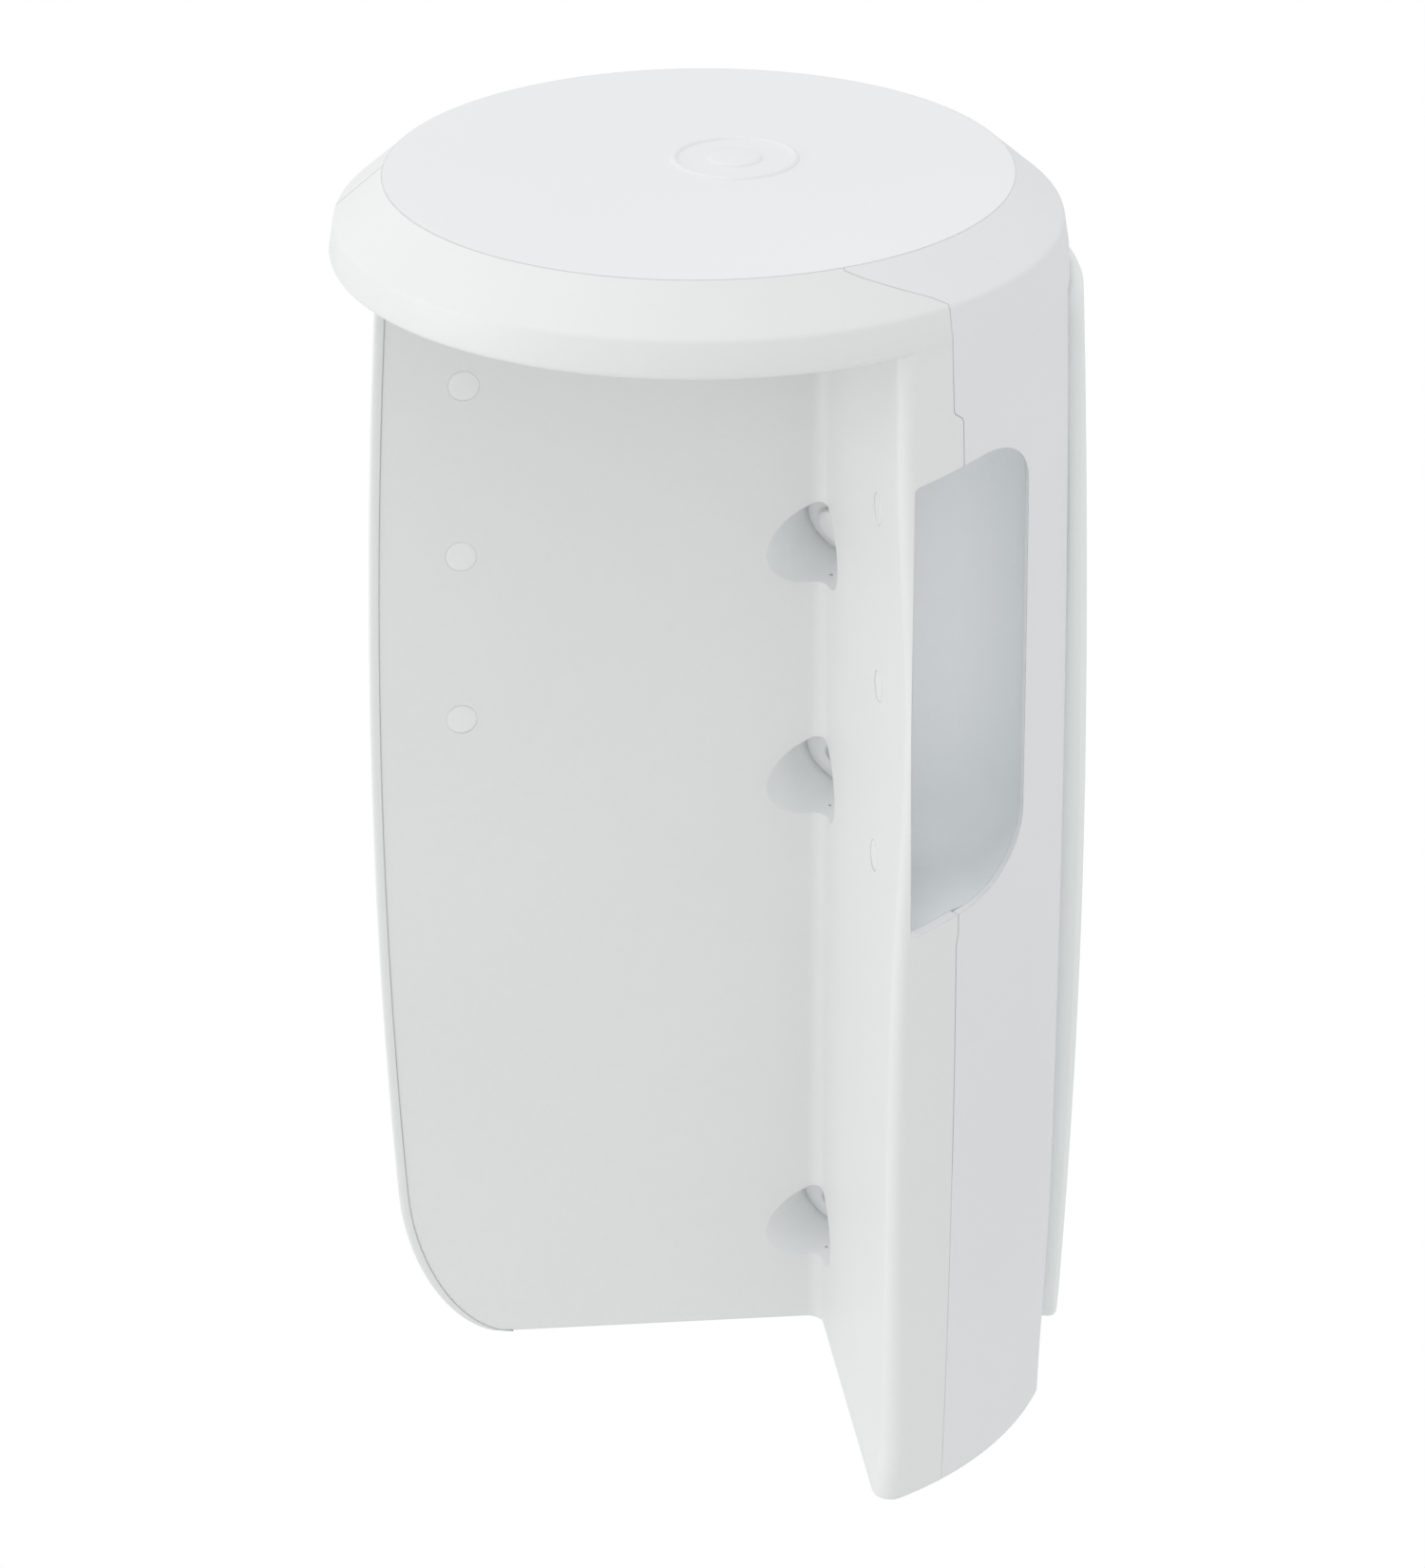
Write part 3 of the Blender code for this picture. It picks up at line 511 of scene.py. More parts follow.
def band_lines(foot, low_wall):
    """Outer and inner (radius, z) lines of the cap band, from the foot points to the face."""
    # knee between upright rim and bevel, tangent to both
    run = KNEE_R * math.tan((math.pi / 2.0 - BEVEL) * 0.5)
    lean = math.atan2(RIM_R - RIM_TOP_R, RIM_TOP_Z - RIM_BOTTOM_Z)
    low = (RIM_TOP_R + run * math.sin(lean), RIM_TOP_Z - run * math.cos(lean))
    high = (RIM_TOP_R - run * math.cos(BEVEL), RIM_TOP_Z + run * math.sin(BEVEL))
    edge = (CAP_FACE_R + FACE_EDGE_R * math.cos(BEVEL), HEIGHT - FACE_EDGE_R * math.sin(BEVEL))
    outer = foot + quad_curve(low, (RIM_TOP_R, RIM_TOP_Z), high, 8)
    outer += [(lerp(high[0], edge[0], s / 5.0), lerp(high[1], edge[1], s / 5.0))
              for s in range(1, 5)]
    outer += quad_curve(edge, (CAP_FACE_R + 0.05, HEIGHT - 0.03), (CAP_FACE_R, HEIGHT), 4)

    # the inner line goes from straight inward at the rim to square under the bevel, and
    # straight down at the face
    inner = []
    for radius, z in outer:
        turn = smooth((z - RIM_TOP_Z + 2.0) / 3.0)
        inward, down = (math.sin(BEVEL), math.cos(BEVEL)) if z < HEIGHT - 0.6 else (0.0, 1.0)
        inner.append((lerp(radius - low_wall, radius - BAND_TOP_T * inward, turn),
                      lerp(z, z - BAND_TOP_T * down, turn)))
    # keep the last points in rising order
    last = len(inner) - 1
    for s in range(last - 5, last + 1):
        inner[s] = (max(inner[s][0], CAP_FACE_R),
                    min(inner[s][1], HEIGHT - BAND_TOP_T + 0.01 * (s - last)))
    return outer, inner


def lip_foot():
    """Rounded lower lip of the cap band."""
    points = []
    for k in range(8):
        angle = math.radians(lerp(-90.0, -3.0, k / 7.0))
        points.append((RIM_R - LIP_R + LIP_R * math.cos(angle),
                       RIM_BOTTOM_Z + LIP_R + LIP_R * math.sin(angle)))
    return points


def seam_cap(z):
    """Angle of the seam where it slants across the cap band's bevel."""
    start, end = RIM_TOP_Z + 1.0, HEIGHT - 0.75
    part = min(1.0, max(0.0, (z - start) / (end - start)))
    return lerp(SEAM_PHI - SEAM_STEP, SEAM_TOP_PHI, part)


def band(name, phi_from, phi_to, count, lines):
    """Part of the cap band between two angles, each a function of z."""
    outer, inner = lines

    def place(i, j, k):
        (outer_r, outer_z), (inner_r, inner_z) = outer[k], inner[k]
        phi = lerp(phi_from(outer_z), phi_to(outer_z), i / float(count))
        x, y = polar(lerp(outer_r, inner_r, j), phi)
        return x, y, lerp(outer_z, inner_z, j)

    return grid_solid(name, count, 1, len(outer) - 1, place)


LIP_LINES = band_lines(lip_foot(), low_wall=3.4)


# --------------------------------------------------------------- hand recess
def grip_profile(x0, x1, z0, z1, top_r, bottom_r):
    """Recess outline in x, z: round corners on the right, the whole leaning up to the right."""
    left_r = 1.2
    # centre x, centre z, radius, start angle, steps
    corners = (
        (x0 + left_r, z0 + left_r, left_r, 270.0, 5),
        (x0 + left_r, z1 - left_r, left_r, 180.0, 5),
        (x1 - top_r, z1 - top_r, top_r, 90.0, 14),
        (x1 - bottom_r, z0 + bottom_r, bottom_r, 0.0, 14),
    )
    points = []
    for cx, cz, radius, start, steps in corners:
        for k in range(steps + 1):
            angle = math.radians(start - 90.0 * k / steps)
            points.append((cx + radius * math.cos(angle), cz + radius * math.sin(angle)))
    return [(x, z + GRIP_LEAN * (x - GRIP_X0)) for x, z in points]


def loop_at(profile, y):
    return [(x * MM, y * MM, z * MM) for x, z in profile]


def prism_y(name, profile, y0, y1):
    return skin(name, [loop_at(profile, y0), loop_at(profile, y1)], 'first')


def grip_cutter():
    profile = grip_profile(GRIP_X0, GRIP_X1, GRIP_Z0, GRIP_Z1, GRIP_TOP_R, GRIP_BOTTOM_R)
    return prism_y("grip_cut", profile, -120.0, GRIP_Y)


def on_grip_edge(face, centre):
    return (abs(face.normal.y) < 0.1 and GRIP_X0 - 0.2 < centre.x < GRIP_X1 + 0.2
            and GRIP_Z0 - 0.5 < centre.z < GRIP_Z1 + 6.0 and centre.y < -50.0)


# --------------------------------------------------------------- front shell
WEB_STEPS, FILLET_STEPS, WALL_STEPS, EDGE_STEPS, FLANK_STEPS = 30, 8, 22, 12, 7


def front_edge(z):
    """Front end of the short wall: its x, its edge radius and that rounding's centre."""
    bow = (2.4 - 0.7 * smooth((200.0 - z) / 100.0)
           + 2.5 * math.exp(-((z - 196.0) / 42.0) ** 2)
           - 1.6 * smooth((16.0 - z) / 16.0))
    radius = 2.9 + 1.4 * smooth((90.0 - z) / 90.0)
    wall_x = CORNER_X + bow
    x = wall_x + radius
    return wall_x, radius, x, -math.sqrt((body_r(z) - radius) ** 2 - x * x)


def short_wall_x(y, z):
    wall_x, _, _, edge_y = front_edge(z)
    return CORNER_X + (wall_x - CORNER_X) * (y - ROOT_Y) / (edge_y - ROOT_Y)


def front_plan(z):
    """Web, corner fillet, short wall, rounded front edge, then round to the seam."""
    left = -(barrel_r(z) - SKIN - 0.03)
    fillet_x = CORNER_X - CORNER_FILLET
    points = []
    for k in range(WEB_STEPS):
        x = lerp(left, fillet_x, k / (WEB_STEPS - 1.0))
        points.append(((x, WEB_Y), (0.0, 1.0)))
    for k in range(1, FILLET_STEPS + 1):
        angle = math.radians(90.0 - 90.0 * k / (FILLET_STEPS + 1.0))
        nx, ny = math.cos(angle), math.sin(angle)
        points.append(((fillet_x + CORNER_FILLET * nx, ROOT_Y + CORNER_FILLET * ny), (nx, ny)))

    wall_x, edge_r, edge_x, edge_y = front_edge(z)
    slope = (wall_x - CORNER_X) / (ROOT_Y - edge_y)
    length = math.hypot(1.0, slope)
    nx, ny = 1.0 / length, slope / length
    for k in range(WALL_STEPS):
        t = k / float(WALL_STEPS)
        points.append(((lerp(CORNER_X, wall_x, t), lerp(ROOT_Y, edge_y, t)), (nx, ny)))

    start, end = math.atan2(-ny, -nx), math.atan2(edge_y, edge_x)
    for k in range(EDGE_STEPS + 1):
        angle = lerp(start, end, k / float(EDGE_STEPS))
        nx, ny = -math.cos(angle), -math.sin(angle)
        points.append(((edge_x - edge_r * nx, edge_y - edge_r * ny), (nx, ny)))

    radius = body_r(z)
    edge_phi = math.degrees(math.atan2(edge_x, -edge_y))
    for k in range(1, FLANK_STEPS + 1):
        x, y = polar(radius, lerp(edge_phi, seam_body(z), k / float(FLANK_STEPS)))
        points.append(((x, y), (-x / radius, -y / radius)))
    return points


def pocket_centre(z):
    return Vector((CORNER_X, WEB_Y, z))


def pocket_point(z, depth):
    return pocket_centre(z) - POCKET_DIR * depth


def in_pocket(face, centre):
    behind = centre.x > CORNER_X + 0.2 or centre.y > WEB_Y + 0.2
    for z in POCKET_Z:
        offset = centre - pocket_centre(z)
        along = offset.dot(POCKET_DIR)
        off_axis = (offset - POCKET_DIR * along).length
        if (off_axis < POCKET_R + 0.06 and behind and centre.y > -20.0
                and along > -POCKET_DEPTH - 0.1):
            return True
    return False


def add_pockets(front):
    for z in POCKET_Z:
        tower = rod("tower", POCKET_R + 2.4, pocket_point(z, -16.0),
                    pocket_point(z, POCKET_DEPTH + 2.6), 72)
        # keep only the part behind the web and the short wall
        cut(tower, block("bay", -90.0, CORNER_X + 1.7, -90.0, WEB_Y + 0.9, z - 60.0, z + 60.0))
        join_solid(front, tower)
    floor_r = 1.0       # radius where the bore's wall meets its floor
    profile = [(0.0, -POCKET_DEPTH), (POCKET_R - floor_r, -POCKET_DEPTH)]
    for degrees in (18, 36, 54, 72, 90):
        angle = math.radians(degrees)
        profile.append((POCKET_R - floor_r + floor_r * math.sin(angle),
                        -POCKET_DEPTH + floor_r - floor_r * math.cos(angle)))
    profile += [(POCKET_R, 40.0), (0.0, 40.0)]
    for z in POCKET_Z:
        cut(front, lathe("bore", profile, pocket_centre(z), POCKET_DIR, 96))
        cut(front, rod("hole", 2.4, pocket_point(z, POCKET_DEPTH + 8.0),
                       pocket_point(z, POCKET_DEPTH - 2.0), 24))


def build_front():
    front = sheet("shell_front", front_plan, RIM_BOTTOM_Z + 1.5, WALL,
                  steps=(0.0, 0.06, 0.16, 0.3, 0.5, 0.7, 0.84, 0.94, 1.0),
                  foot_round=0.45, end_round=0.2)
    join_solid(front, band("lip", lambda z: RING_LEFT_PHI, seam_cap, detail(130), LIP_LINES))
    join_solid(front, arc_slab("soffit", 60, radii=(6.0, RIM_R - 2.6),
                               phis=(RING_LEFT_PHI + 10.6, SEAM_PHI - 1.0),
                               levels=(RIM_BOTTOM_Z + 0.8, RIM_BOTTOM_Z + 3.4)))
    add_pockets(front)
    cut(front, grip_cutter())
    for x, z in WEB_PLUGS:
        cut(front, rod("plug_hole", PLUG_R - 0.05, (x, -6.0, z), (x, 12.0, z), 56))
    for y, z in SIDE_PLUGS:
        x = short_wall_x(y, z)
        cut(front, rod("plug_hole", PLUG_R + 0.03, (x - 4.0, y, z), (x + 1.35, y, z), 56))
    dress(front, FRONT_WHITE, "housing", "front_shell")
    # pocket faces painted lighter: painted light in the shaded screw pockets
    paint(front, POCKET_PAINTED_LIGHT, in_pocket)
    # the opening's cut faces painted near-white: a painted highlight
    paint(front, GRIP_EDGE_PAINTED_HIGHLIGHT, on_grip_edge)
    return front


# ---------------------------------------------------------------- side shell
ARC_STEPS, TURN_STEPS, FLAT_STEPS = 16, 8, 4
FLANK_EDGE_R = 2.0
FLANK_BACK_Y = 0.6


def flank_x(z):
    return FLANK_X - 2.0 * smooth((60.0 - z) / 60.0)


def flank_plan(z):
    """Round from the seam, over a small edge, then flat along the right to the rear."""
    radius = body_r(z)
    edge_x = flank_x(z) - FLANK_EDGE_R
    edge_y = -math.sqrt((radius - FLANK_EDGE_R) ** 2 - edge_x * edge_x)
    start = seam_body(z) + degrees_of(seam_gap(z), radius)
    end = math.degrees(math.atan2(edge_x, -edge_y))
    points = []
    for k in range(ARC_STEPS + 1):
        x, y = polar(radius, lerp(start, end, k / float(ARC_STEPS)))
        points.append(((x, y), (-x / radius, -y / radius)))
    edge_angle = math.atan2(edge_y, edge_x)
    for k in range(1, TURN_STEPS + 1):
        angle = edge_angle * (1.0 - k / float(TURN_STEPS))
        nx, ny = -math.cos(angle), -math.sin(angle)
        points.append(((edge_x - FLANK_EDGE_R * nx, edge_y - FLANK_EDGE_R * ny), (nx, ny)))
    for k in range(1, FLAT_STEPS + 1):
        y = lerp(edge_y, FLANK_BACK_Y, k / float(FLAT_STEPS))
        points.append(((flank_x(z), y), (-1.0, 0.0)))
    return points


def build_side():
    side = sheet("shell_side", flank_plan, RIM_BOTTOM_Z - 3.0, FLANK_WALL,
                 steps=(0.0, 0.12, 0.3, 0.7, 0.88, 1.0), foot_round=0.4)
    foot = [(body_r(z), z) for z in (COLLAR_Z, lerp(COLLAR_Z, RIM_TOP_Z, 0.5))]
    join_solid(side, band("collar", lambda z: seam_cap(z) + degrees_of(0.06, 78.0),
                          lambda z: COLLAR_END_PHI, detail(70),
                          band_lines(foot, low_wall=FLANK_WALL + 0.6)))
    cut(side, grip_cutter())
    dress(side, SIDE_WHITE, "housing", "side_shell")
    # the opening's cut faces painted near-white: a painted highlight
    paint(side, GRIP_EDGE_PAINTED_HIGHLIGHT, on_grip_edge)


# --------------------------------------------------------------- rear barrel
def build_rear():
    count = detail(110)
    levels = heights(RIM_BOTTOM_Z + 1.4, PITCH)
    steps = (0.0, 0.1, 0.25, 0.5, 0.75, 0.9, 1.0)

    def barrel_place(i, j, k):
        part = steps[j]
        radius = barrel_r(levels[k]) - SKIN * part
        end_y = WEB_Y - 0.2
        # the outer edge of both ends is rounded
        if i in (0, count) and part < 0.5:
            end_y += 0.35 * SKIN * (1.0 - math.sqrt(max(0.0, 1.0 - (2.0 * part - 1.0) ** 2)))
        start = 90.0 + math.degrees(math.asin(end_y / radius))
        x, y = polar(radius, start + (360.0 - 2.0 * start) * i / float(count))
        return x, y, levels[k]

    rear = grid_solid("barrel_rear", count, len(steps) - 1, len(levels) - 1, barrel_place)

    floor_r = barrel_r(1.5) - 0.9
    floor_front_y = 4.6

    def floor_place(i, j, k):
        x, y = polar(lerp(2.0, floor_r, j), 90.0 + 180.0 * i / 60.0)
        return x, floor_front_y + y * (floor_r - floor_front_y) / floor_r, (0.4, 2.8)[k]

    join_solid(rear, grid_solid("floor", 60, 1, 1, floor_place))
    join_solid(rear, arc_slab("shelf", 80, radii=(barrel_r(RIM_BOTTOM_Z) - 1.6, RIM_R - 2.6),
                              phis=(COLLAR_END_PHI + 1.2, 258.6),
                              levels=(RIM_BOTTOM_Z + 0.5, RIM_BOTTOM_Z + 3.1)))
    join_solid(rear, band("rear_band", lambda z: COLLAR_END_PHI + 0.25,
                          lambda z: 360.0 + RING_LEFT_PHI - 0.25, detail(120), LIP_LINES))
    # clearance at the shelf's left and right ends: x from, x to, rear y
    for x0, x1, y1 in ((-75.0, -55.0, 14.6), (55.0, 75.0, 17.0)):
        cut(rear, block("notch", x0, x1, -6.0, y1, RIM_BOTTOM_Z - 0.3, RIM_BOTTOM_Z + 6.0))
    # two arms that reach back and turn down
    for x0, x1 in ((-22.0, -12.0), (12.0, 22.0)):
        arm = block("arm", x0, x1, 68.5, 83.4, HANG_Z + 8.4, HANG_Z + 14.0)
        join_solid(arm, block("drop", x0 + 0.1, x1 - 0.1, 81.1, 83.3, HANG_Z - 4.0, HANG_Z + 9.5))
        join_solid(rear, arm)
    dress(rear, REAR_WHITE, "housing", "rear_barrel")
    return rear


# ------------------------------------------------------------------ cap face
RING_X, RING_Y = 8.5, 5.0
# radius, height above the cap face
RING_PROFILE = ((12.3, -0.5), (12.3, 0.0), (12.55, 0.28), (12.9, 0.5), (13.3, 0.56),
                (13.7, 0.5), (14.05, 0.28), (14.3, 0.0), (14.3, -0.5))
BOSS_PROFILE = ((0.0, -0.5), (6.2, -0.5), (6.2, 0.0), (5.95, 0.3), (5.5, 0.5),
                (4.8, 0.57), (0.0, 0.6))


def build_top():
    """Flat cap face with a low ring and a boss in its middle."""
    disc_r = CAP_FACE_R + 0.05
    profile = [(0.0, HEIGHT - 2.6), (disc_r - 0.4, HEIGHT - 2.6), (disc_r, HEIGHT - 2.2),
               (disc_r, HEIGHT - 0.02), (disc_r - 0.2, HEIGHT)]
    profile += [(radius, HEIGHT)
                for radius in (disc_r - 2.5, 60.0, 50.0, 40.0, 30.0, 20.0, 10.0, 0.0)]
    top = lathe("cap_face", profile, (0, 0, 0), (0, 0, 1), 200)

    loops = []
    for s in range(120):
        angle = 2.0 * math.pi * s / 120
        loops.append([((RING_X + radius * math.cos(angle)) * MM,
                       (RING_Y + radius * math.sin(angle)) * MM,
                       (HEIGHT + rise) * MM) for radius, rise in RING_PROFILE])
    join_solid(top, skin("ring", loops, 'joined'))
    boss = [(radius, HEIGHT + rise) for radius, rise in BOSS_PROFILE]
    join_solid(top, lathe("boss", boss, (RING_X, RING_Y, 0), (0, 0, 1), 90))
    dress(top, TOP_WHITE, "housing", "top_cover", angle=40.0)


# ------------------------------------------------------------------ grip cup
CUP_T = 2.0
CUP_FILLET = 12.0


def cup_void():
    """Inner form of the hand recess: straight walls that round over into the back."""
    straight_end = GRIP_Y - CUP_FILLET
    # y, inset of the outline
    stations = [(y, 0.0) for y in (-130.0, -100.0, -80.0, -70.0, -60.0, straight_end)]
    for k in range(1, 13):
        angle = math.radians(7.5 * k)
        stations.append((straight_end + CUP_FILLET * math.sin(angle),
                         CUP_FILLET * (1.0 - math.cos(angle))))
    loops = []
    for y, inset in stations:
        profile = grip_profile(GRIP_X0 - 5.0, GRIP_X1 - inset, GRIP_Z0 + inset, GRIP_Z1 - inset,
                               GRIP_TOP_R - inset * 0.6, GRIP_BOTTOM_R - inset * 0.6)
        loops.append(loop_at(profile, y))
    return skin("cup_void", loops, 'last')


def build_cup():
    profile = grip_profile(GRIP_X0 + GAP, GRIP_X1 + CUP_T, GRIP_Z0 - CUP_T, GRIP_Z1 + CUP_T,
                           GRIP_TOP_R + CUP_T, GRIP_BOTTOM_R + CUP_T)
    cup = prism_y("grip_recess", profile, -100.0, GRIP_Y + CUP_T)

    def trim_place(i, j, k):
        """Space just inside the front and side shells."""
        z = lerp(120.0, 275.0, k / 40.0)
        phi = lerp(5.0, 85.0, i / 60.0)
        wall = lerp(WALL, FLANK_WALL, smooth((phi - SEAM_PHI - 0.4) / 1.2))
        x, y = polar((body_r(z) - wall - 0.08) * (0.02, 1.0)[j], phi)
        return x, y, z

    combine(cup, grid_solid("trim", 60, 1, 40, trim_place), 'INTERSECT')
    cut(cup, cup_void())
    for z0, z1 in ((GRIP_Z0 - 6.0, GRIP_Z0 - 0.2), (GRIP_Z1 + 0.2, GRIP_Z1 + 6.0)):
        cut(cup, block("step", 30.0, 36.6, -95.0, -52.0, z0, z1))
    # the cup's lighter, tealer colour is painted light in the shaded recess
    dress(cup, CUP_PAINTED_LIGHT, "housing", "grip_cup")


# --------------------------------------------------------------- wall cradle
CRADLE_H = CRADLE_Z1 - CRADLE_Z0
CRADLE_ARC_R = 86.0         # radius at which its edge roundings turn into angles
CRADLE_CORNER_R = 7.0
CRADLE_SIDE_EDGE_R = 1.2
CRADLE_END_EDGE_R = 1.0
EDGE_REACH = 3.6            # the front edge's shaping fades out over this length
END_REACH = 5.0             # and that of the top and bottom edges over this


def cradle_r(z):
    drop = 1.7 * ((166.0 - z) / 154.0) ** 2 if z < 166.0 else 0.0
    return body_r(z) + 3.0 - drop


def cradle_wall():
    """Curved wall round the right and rear of the housing."""
    rises = heights(CRADLE_H * 0.5, 6.0)
    rises += [CRADLE_H - rise for rise in reversed(rises[:-1])]
    # lengths along the wall from its front edge
    runs = [0.0, 0.25, 0.6, 1.2, 2.2] + [EDGE_REACH + 1.9 * k for k in range(84)]
    steps = (0.0, 0.1, 0.28, 0.5, 0.72, 0.9, 1.0)
    last = len(runs) - 1

    def place(i, j, k):
        rise, run, part = rises[k], runs[i], steps[j]
        z = CRADLE_Z0 + rise
        depth = CRADLE_T * part
        near = min(depth, CRADLE_T - depth)
        radius = cradle_r(z) - depth
        corner = edge_pull(min(z - CRADLE_Z0, CRADLE_Z1 - z), CRADLE_CORNER_R)
        start = (CRADLE_PHI0 + 4.5 * smooth((z - 215.0) / 55.0)
                 + degrees_of(corner, CRADLE_ARC_R))
        phi = start + (CRADLE_PHI1 - start) * run / runs[last]
        side_pull = degrees_of(edge_pull(near, CRADLE_SIDE_EDGE_R), CRADLE_ARC_R)
        phi += side_pull * max(0.0, 1.0 - run / EDGE_REACH)
        if i == last:
            phi -= side_pull
        end_pull = edge_pull(near, CRADLE_END_EDGE_R)
        z += end_pull * max(0.0, 1.0 - rise / END_REACH)
        z -= end_pull * max(0.0, 1.0 - (CRADLE_H - rise) / END_REACH)
        # the front edge turns in and closes on the flank
        turn = 1.0 - smooth((run - 2.2) / EDGE_REACH)
        reach = (flank_x(z) + 0.35) / math.sin(math.radians(min(phi, 90.0)))
        radius -= max(0.0, cradle_r(z) - CRADLE_T - reach) * turn * part
        x, y = polar(radius, phi)
        return x, y, z

    return grid_solid("cradle_wall", last, len(steps) - 1, len(rises) - 1, place)


def build_cradle():
    cradle = cradle_wall()
    back = block("back", -BACK_HALF_W, BACK_HALF_W, 71.0, BACK_Y1, 26.0, 262.0)
    bevel = back.modifiers.new("bv", 'BEVEL')
    bevel.width = 0.0022
    bevel.segments = 3
    bevel.limit_method = 'ANGLE'
    apply_modifiers(back)

    def core_place(i, j, k):
        """Space inside the curved wall."""
        z = lerp(20.0, 270.0, k / 24.0)
        x, y = polar(lerp(1.0, cradle_r(z) - CRADLE_T + 0.4, j), lerp(140.0, 220.0, i / 40.0))
        return x, y, z

    cut(back, grid_solid("core", 40, 1, 24, core_place))
    join_solid(cradle, back)
    cut(cradle, block("pocket", -BACK_HALF_W + 3.4, BACK_HALF_W - 3.4, 60.0, BACK_Y0,
                      29.4, 258.6))
    # four countersunk holes in the back plate
    for x in (-27.0, 27.0):
        for z in (60.0, 215.0):
            cut(cradle, rod("hole", 2.6, (x, 80.0, z), (x, 95.0, z), 32))
            cut(cradle, rod("sink", 5.2, (x, BACK_Y0 - 1.0, z), (x, BACK_Y0 + 3.4, z), 40,
                            end_radius=2.2))
    # the cradle's brighter, tealer colour is painted light and painted reflection
    dress(cradle, CRADLE_PAINTED_LIGHT, "cradle", "wall_cradle")


# ------------------------------------------- washers, screws, cap and plugs
# Profiles are (radius, distance along the axis).
WASHER_PROFILE = ((2.5, SEAT), (8.4, SEAT), (8.6, SEAT + 0.2), (8.6, SEAT + 0.6),
                  (8.5, SEAT + 0.8), (8.25, SEAT + WASHER_T), (3.9, SEAT + WASHER_T),
                  (3.75, SEAT + 0.85))
HEAD = SEAT + WASHER_T      # top of the screw heads
SCREW_PROFILE = ((0.0, HEAD - 27.0), (1.2, HEAD - 27.0), (2.0, HEAD - 25.5),
                 (2.0, HEAD - 0.95), (2.15, HEAD - 0.85), (3.1, HEAD - 0.08),
                 (3.2, HEAD - 0.02), (3.1, HEAD), (0.0, HEAD))
CAP = HEAD + GAP            # underside of the screw cap
CAP_PROFILE = ((0.0, CAP + 0.4), (3.9, CAP + 0.4), (3.9, CAP), (4.8, CAP), (5.0, CAP + 0.2),
               (5.0, CAP + 0.8), (4.85, CAP + 1.15), (4.4, CAP + 1.42), (3.7, CAP + 1.57),
               (2.6, CAP + 1.6), (0.0, CAP + 1.6))
WEB_PLUG_PROFILE = ((0.0, 0.10), (PLUG_R - 0.9, 0.09), (PLUG_R - 0.3, 0.05), (PLUG_R, -0.01),
                    (PLUG_R, -WALL + 0.2), (PLUG_R - 0.2, -WALL), (0.0, -WALL))
SIDE_PLUG_PROFILE = ((0.0, 0.0), (PLUG_R - 0.2, 0.0), (PLUG_R, -0.2), (PLUG_R, -0.85),
                     (PLUG_R - 0.15, -1.0), (0.0, -1.0))


def build_washer(number, centre):
    side = POCKET_DIR.orthogonal().normalized()
    up = POCKET_DIR.cross(side)
    loops = []
    for s in range(72):
        angle = 2.0 * math.pi * s / 72
        outward = side * math.cos(angle) + up * math.sin(angle)
        loops.append([(centre + POCKET_DIR * dist + outward * radius) * MM
                      for radius, dist in WASHER_PROFILE])
    washer = skin("washer_seat_%d" % number, loops, 'joined')
    dress(washer, SEAT_WHITE, "housing", "seat_washer_%d" % number)


def build_screw(number, centre):
    screw = lathe("screw_slant_%d" % number, SCREW_PROFILE, centre, POCKET_DIR, 56)
    across = POCKET_DIR.cross(Vector((0, 0, 1))).normalized()
    up = across.cross(POCKET_DIR).normalized()
    middle = centre + POCKET_DIR * (HEAD + 0.02)
    for direction in (across, up):
        cut(screw, rod("slot", 0.5, middle - direction * 1.8, middle + direction * 1.8, 4))
    dress(screw, STEEL, "housing", "slant_screw_%d" % number)


def build_plugs():
    for number, (x, z) in enumerate(WEB_PLUGS, 1):
        # the third disc sits a little crooked
        axis = (0.035, -1.0, -0.045) if number == 3 else (0.0, -1.0, 0.0)
        plug = lathe("plug_web_%d" % number, WEB_PLUG_PROFILE, (x, WEB_Y, z), axis, 56)
        dress(plug, PLUG_WHITE, "housing", "web_plug_%d" % number, angle=40.0)
    for number, (y, z) in enumerate(SIDE_PLUGS, 1):
        plug = lathe("plug_side_%d" % number, SIDE_PLUG_PROFILE,
                     (short_wall_x(y, z), y + 0.08, z), (-1, 0, 0), 56)
        dress(plug, PLUG_WHITE, "housing", "side_plug_%d" % number, angle=40.0)


front = build_front()
build_side()
rear = build_rear()
build_top()
build_cup()
build_cradle()
for number, z in enumerate(POCKET_Z, 1):
    build_washer(number, pocket_centre(z))
    build_screw(number, pocket_centre(z))
screw_cap = lathe("cap_screw", CAP_PROFILE, pocket_centre(POCKET_Z[0]), POCKET_DIR, 72)
dress(screw_cap, PLUG_WHITE, "cap_piece", "screw_cap", angle=35.0)
build_plugs()

# -------------------------------------------------- CAD pieces kept as they are
for name, material in (
        ("bottom_cover", INNER), ("fixing_spine", SPINE), ("hanger_bar", STEEL),
        ("cradle_rest_lower_left", RUBBER), ("cradle_rest_lower_right", RUBBER),
        ("cradle_rest_upper_left", RUBBER), ("cradle_rest_upper_right", RUBBER)):
    kept = nodes[name]
    kept.data.materials.clear()
    kept.data.materials.append(material)
    bevel = kept.modifiers.new("edge", 'BEVEL')
    bevel.width = 0.0005
    bevel.segments = 2
    bevel.limit_method = 'ANGLE'
    bevel.angle_limit = math.radians(40.0)

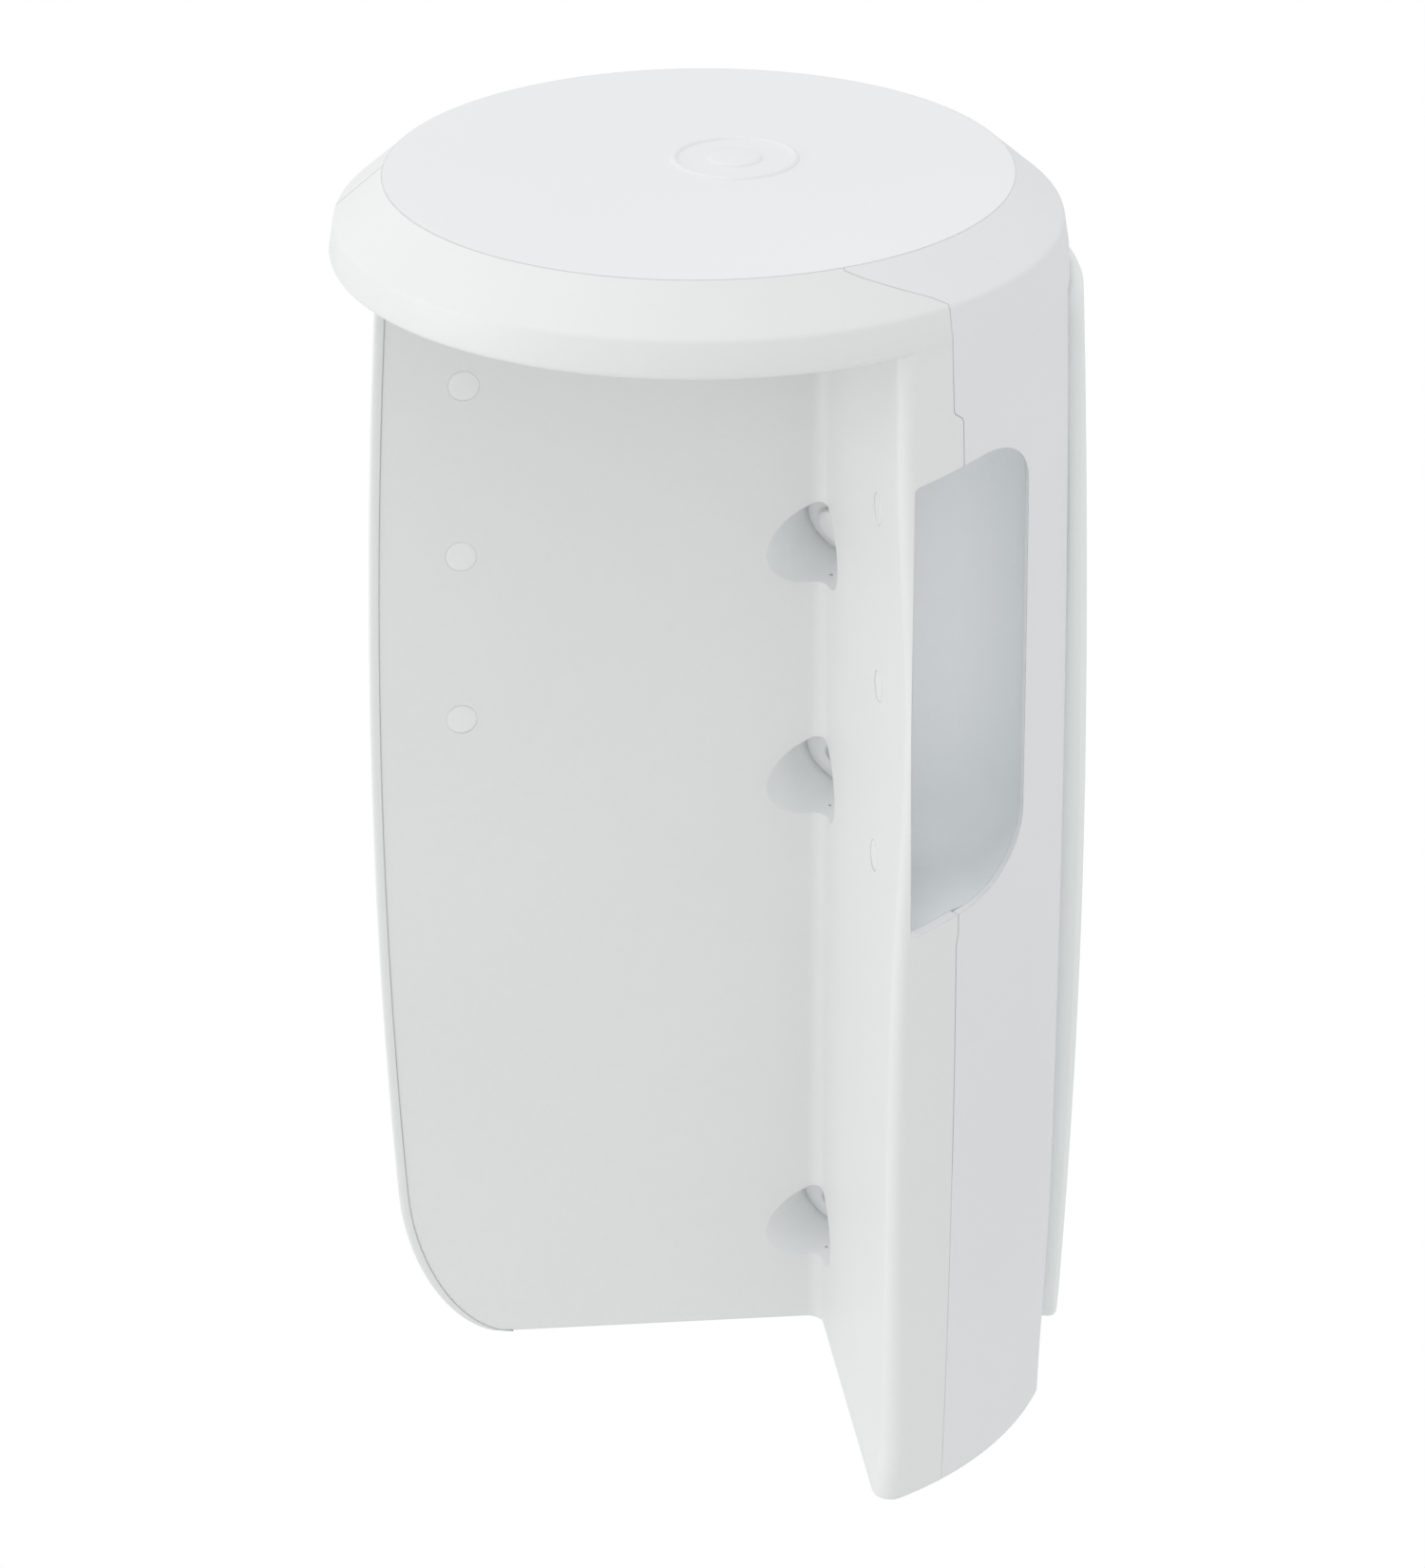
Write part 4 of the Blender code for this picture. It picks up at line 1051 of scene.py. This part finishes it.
# the foot climbs towards the left
for shell in (front, rear):
    for vert in shell.data.vertices:
        x, z = vert.co.x / MM, vert.co.z / MM
        if x < FOOT_LIFT_X and z < FOOT_LIFT_H:
            vert.co.z += FOOT_LIFT * (FOOT_LIFT_X - x) * (1.0 - z / FOOT_LIFT_H) * MM

# from the cap's centre line at the foot to the frame's origin
SHIFT = Vector((0.0, -BACK_Y1 * MM, -150.0 * MM))
for made in MADE:
    made.data.transform(Matrix.Translation(SHIFT))


# ------------------------------------------------------------ stage (metres)
def split_for_camera(tree, output, lit, seen):
    """Let the camera see one shader while all other rays meet the lit one."""
    rays = node(tree, "LightPath").outputs["Is Camera Ray"]
    mix = node(tree, "MixShader", {0: rays, 1: lit, 2: seen})
    tree.links.new(mix.outputs["Shader"], output.inputs["Surface"])


def build_floor():
    mesh = bmesh.new()
    bmesh.ops.create_grid(mesh, x_segments=8, y_segments=8, size=6.0)
    data = bpy.data.meshes.new("floor")
    mesh.to_mesh(data)
    mesh.free()
    floor = bpy.data.objects.new("floor", data)
    root.objects.link(floor)
    floor.location = (0.0, 0.0, -0.26)
    material, tree, shader, output = new_material("floor_pale")
    feed(tree, shader, {"Base Color": (0.84, 0.84, 0.84, 1.0), "Roughness": 0.9,
                        "Specular IOR Level": 0.1})
    glow = node(tree, "Emission", {"Color": (1.0, 1.0, 1.0, 1.0), "Strength": 1.0})
    split_for_camera(tree, output, shader.outputs["BSDF"], glow.outputs["Emission"])
    data.materials.append(material)


def build_world():
    """Soft tent light, its strength varying with direction; plain white to the camera."""
    world = bpy.data.worlds.new("studio")
    bpy.context.scene.world = world
    world.use_nodes = True
    tree = world.node_tree
    incoming = node(tree, "NewGeometry").outputs["Incoming"]
    # change of strength along x, y, z of the incoming direction, about a mean of 0.76
    tilt = node(tree, "VectorMath", {0: incoming, 1: (0.05, 0.0, -0.215)},
                operation='DOT_PRODUCT')
    strength = node(tree, "Math", {0: tilt.outputs["Value"], 1: 0.76}, operation='ADD')
    tent = tree.nodes["Background"]
    feed(tree, tent, {"Color": (1.0, 1.0, 1.0, 1.0), "Strength": strength.outputs[0]})
    plain = node(tree, "Background", {"Color": (1.0, 1.0, 1.0, 1.0), "Strength": 1.0})
    output = next(n for n in tree.nodes if n.type == 'OUTPUT_WORLD')
    split_for_camera(tree, output, tent.outputs["Background"], plain.outputs["Background"])


def area_light(name, location, target, size, power):
    light = bpy.data.lights.new(name, 'AREA')
    light.shape = 'RECTANGLE'
    light.size, light.size_y = size
    light.energy = power
    lamp = bpy.data.objects.new(name, light)
    root.objects.link(lamp)
    lamp.location = location
    aim = Vector(target) - Vector(location)
    lamp.rotation_euler = aim.to_track_quat('-Z', 'Y').to_euler()


def build_camera():
    camera = bpy.data.cameras.new("cam")
    camera.sensor_fit = 'HORIZONTAL'
    camera.sensor_width = 36.0
    camera.lens = 115.26072
    camera.clip_start = 0.01
    camera.clip_end = 50.0
    holder = bpy.data.objects.new("camera", camera)
    root.objects.link(holder)
    right = Vector((0.9903144, -0.1387646, -0.0046586))
    forward = Vector((0.12160543, 0.88307071, -0.45320882))
    up = right.cross(forward).normalized()
    right = forward.cross(up).normalized()
    turn = Matrix((right, up, -forward)).transposed().to_4x4()
    place = Vector((-0.12612774, -0.93284539, 0.6288575)) + SHIFT
    holder.matrix_world = Matrix.Translation(place) @ turn
    bpy.context.scene.camera = holder


build_floor()
build_world()
area_light("soft_top", location=(-0.4, -0.1, 1.7), target=(0, -0.09, 0.1), size=(1.2, 1.2),
           power=2.2)
area_light("soft_left", location=(-1.6, -0.2, 0.12), target=(0, -0.09, 0.0), size=(0.9, 1.2),
           power=5.7)
bpy.context.scene.view_settings.view_transform = 'Standard'
bpy.context.scene.view_settings.look = 'None'
build_camera()
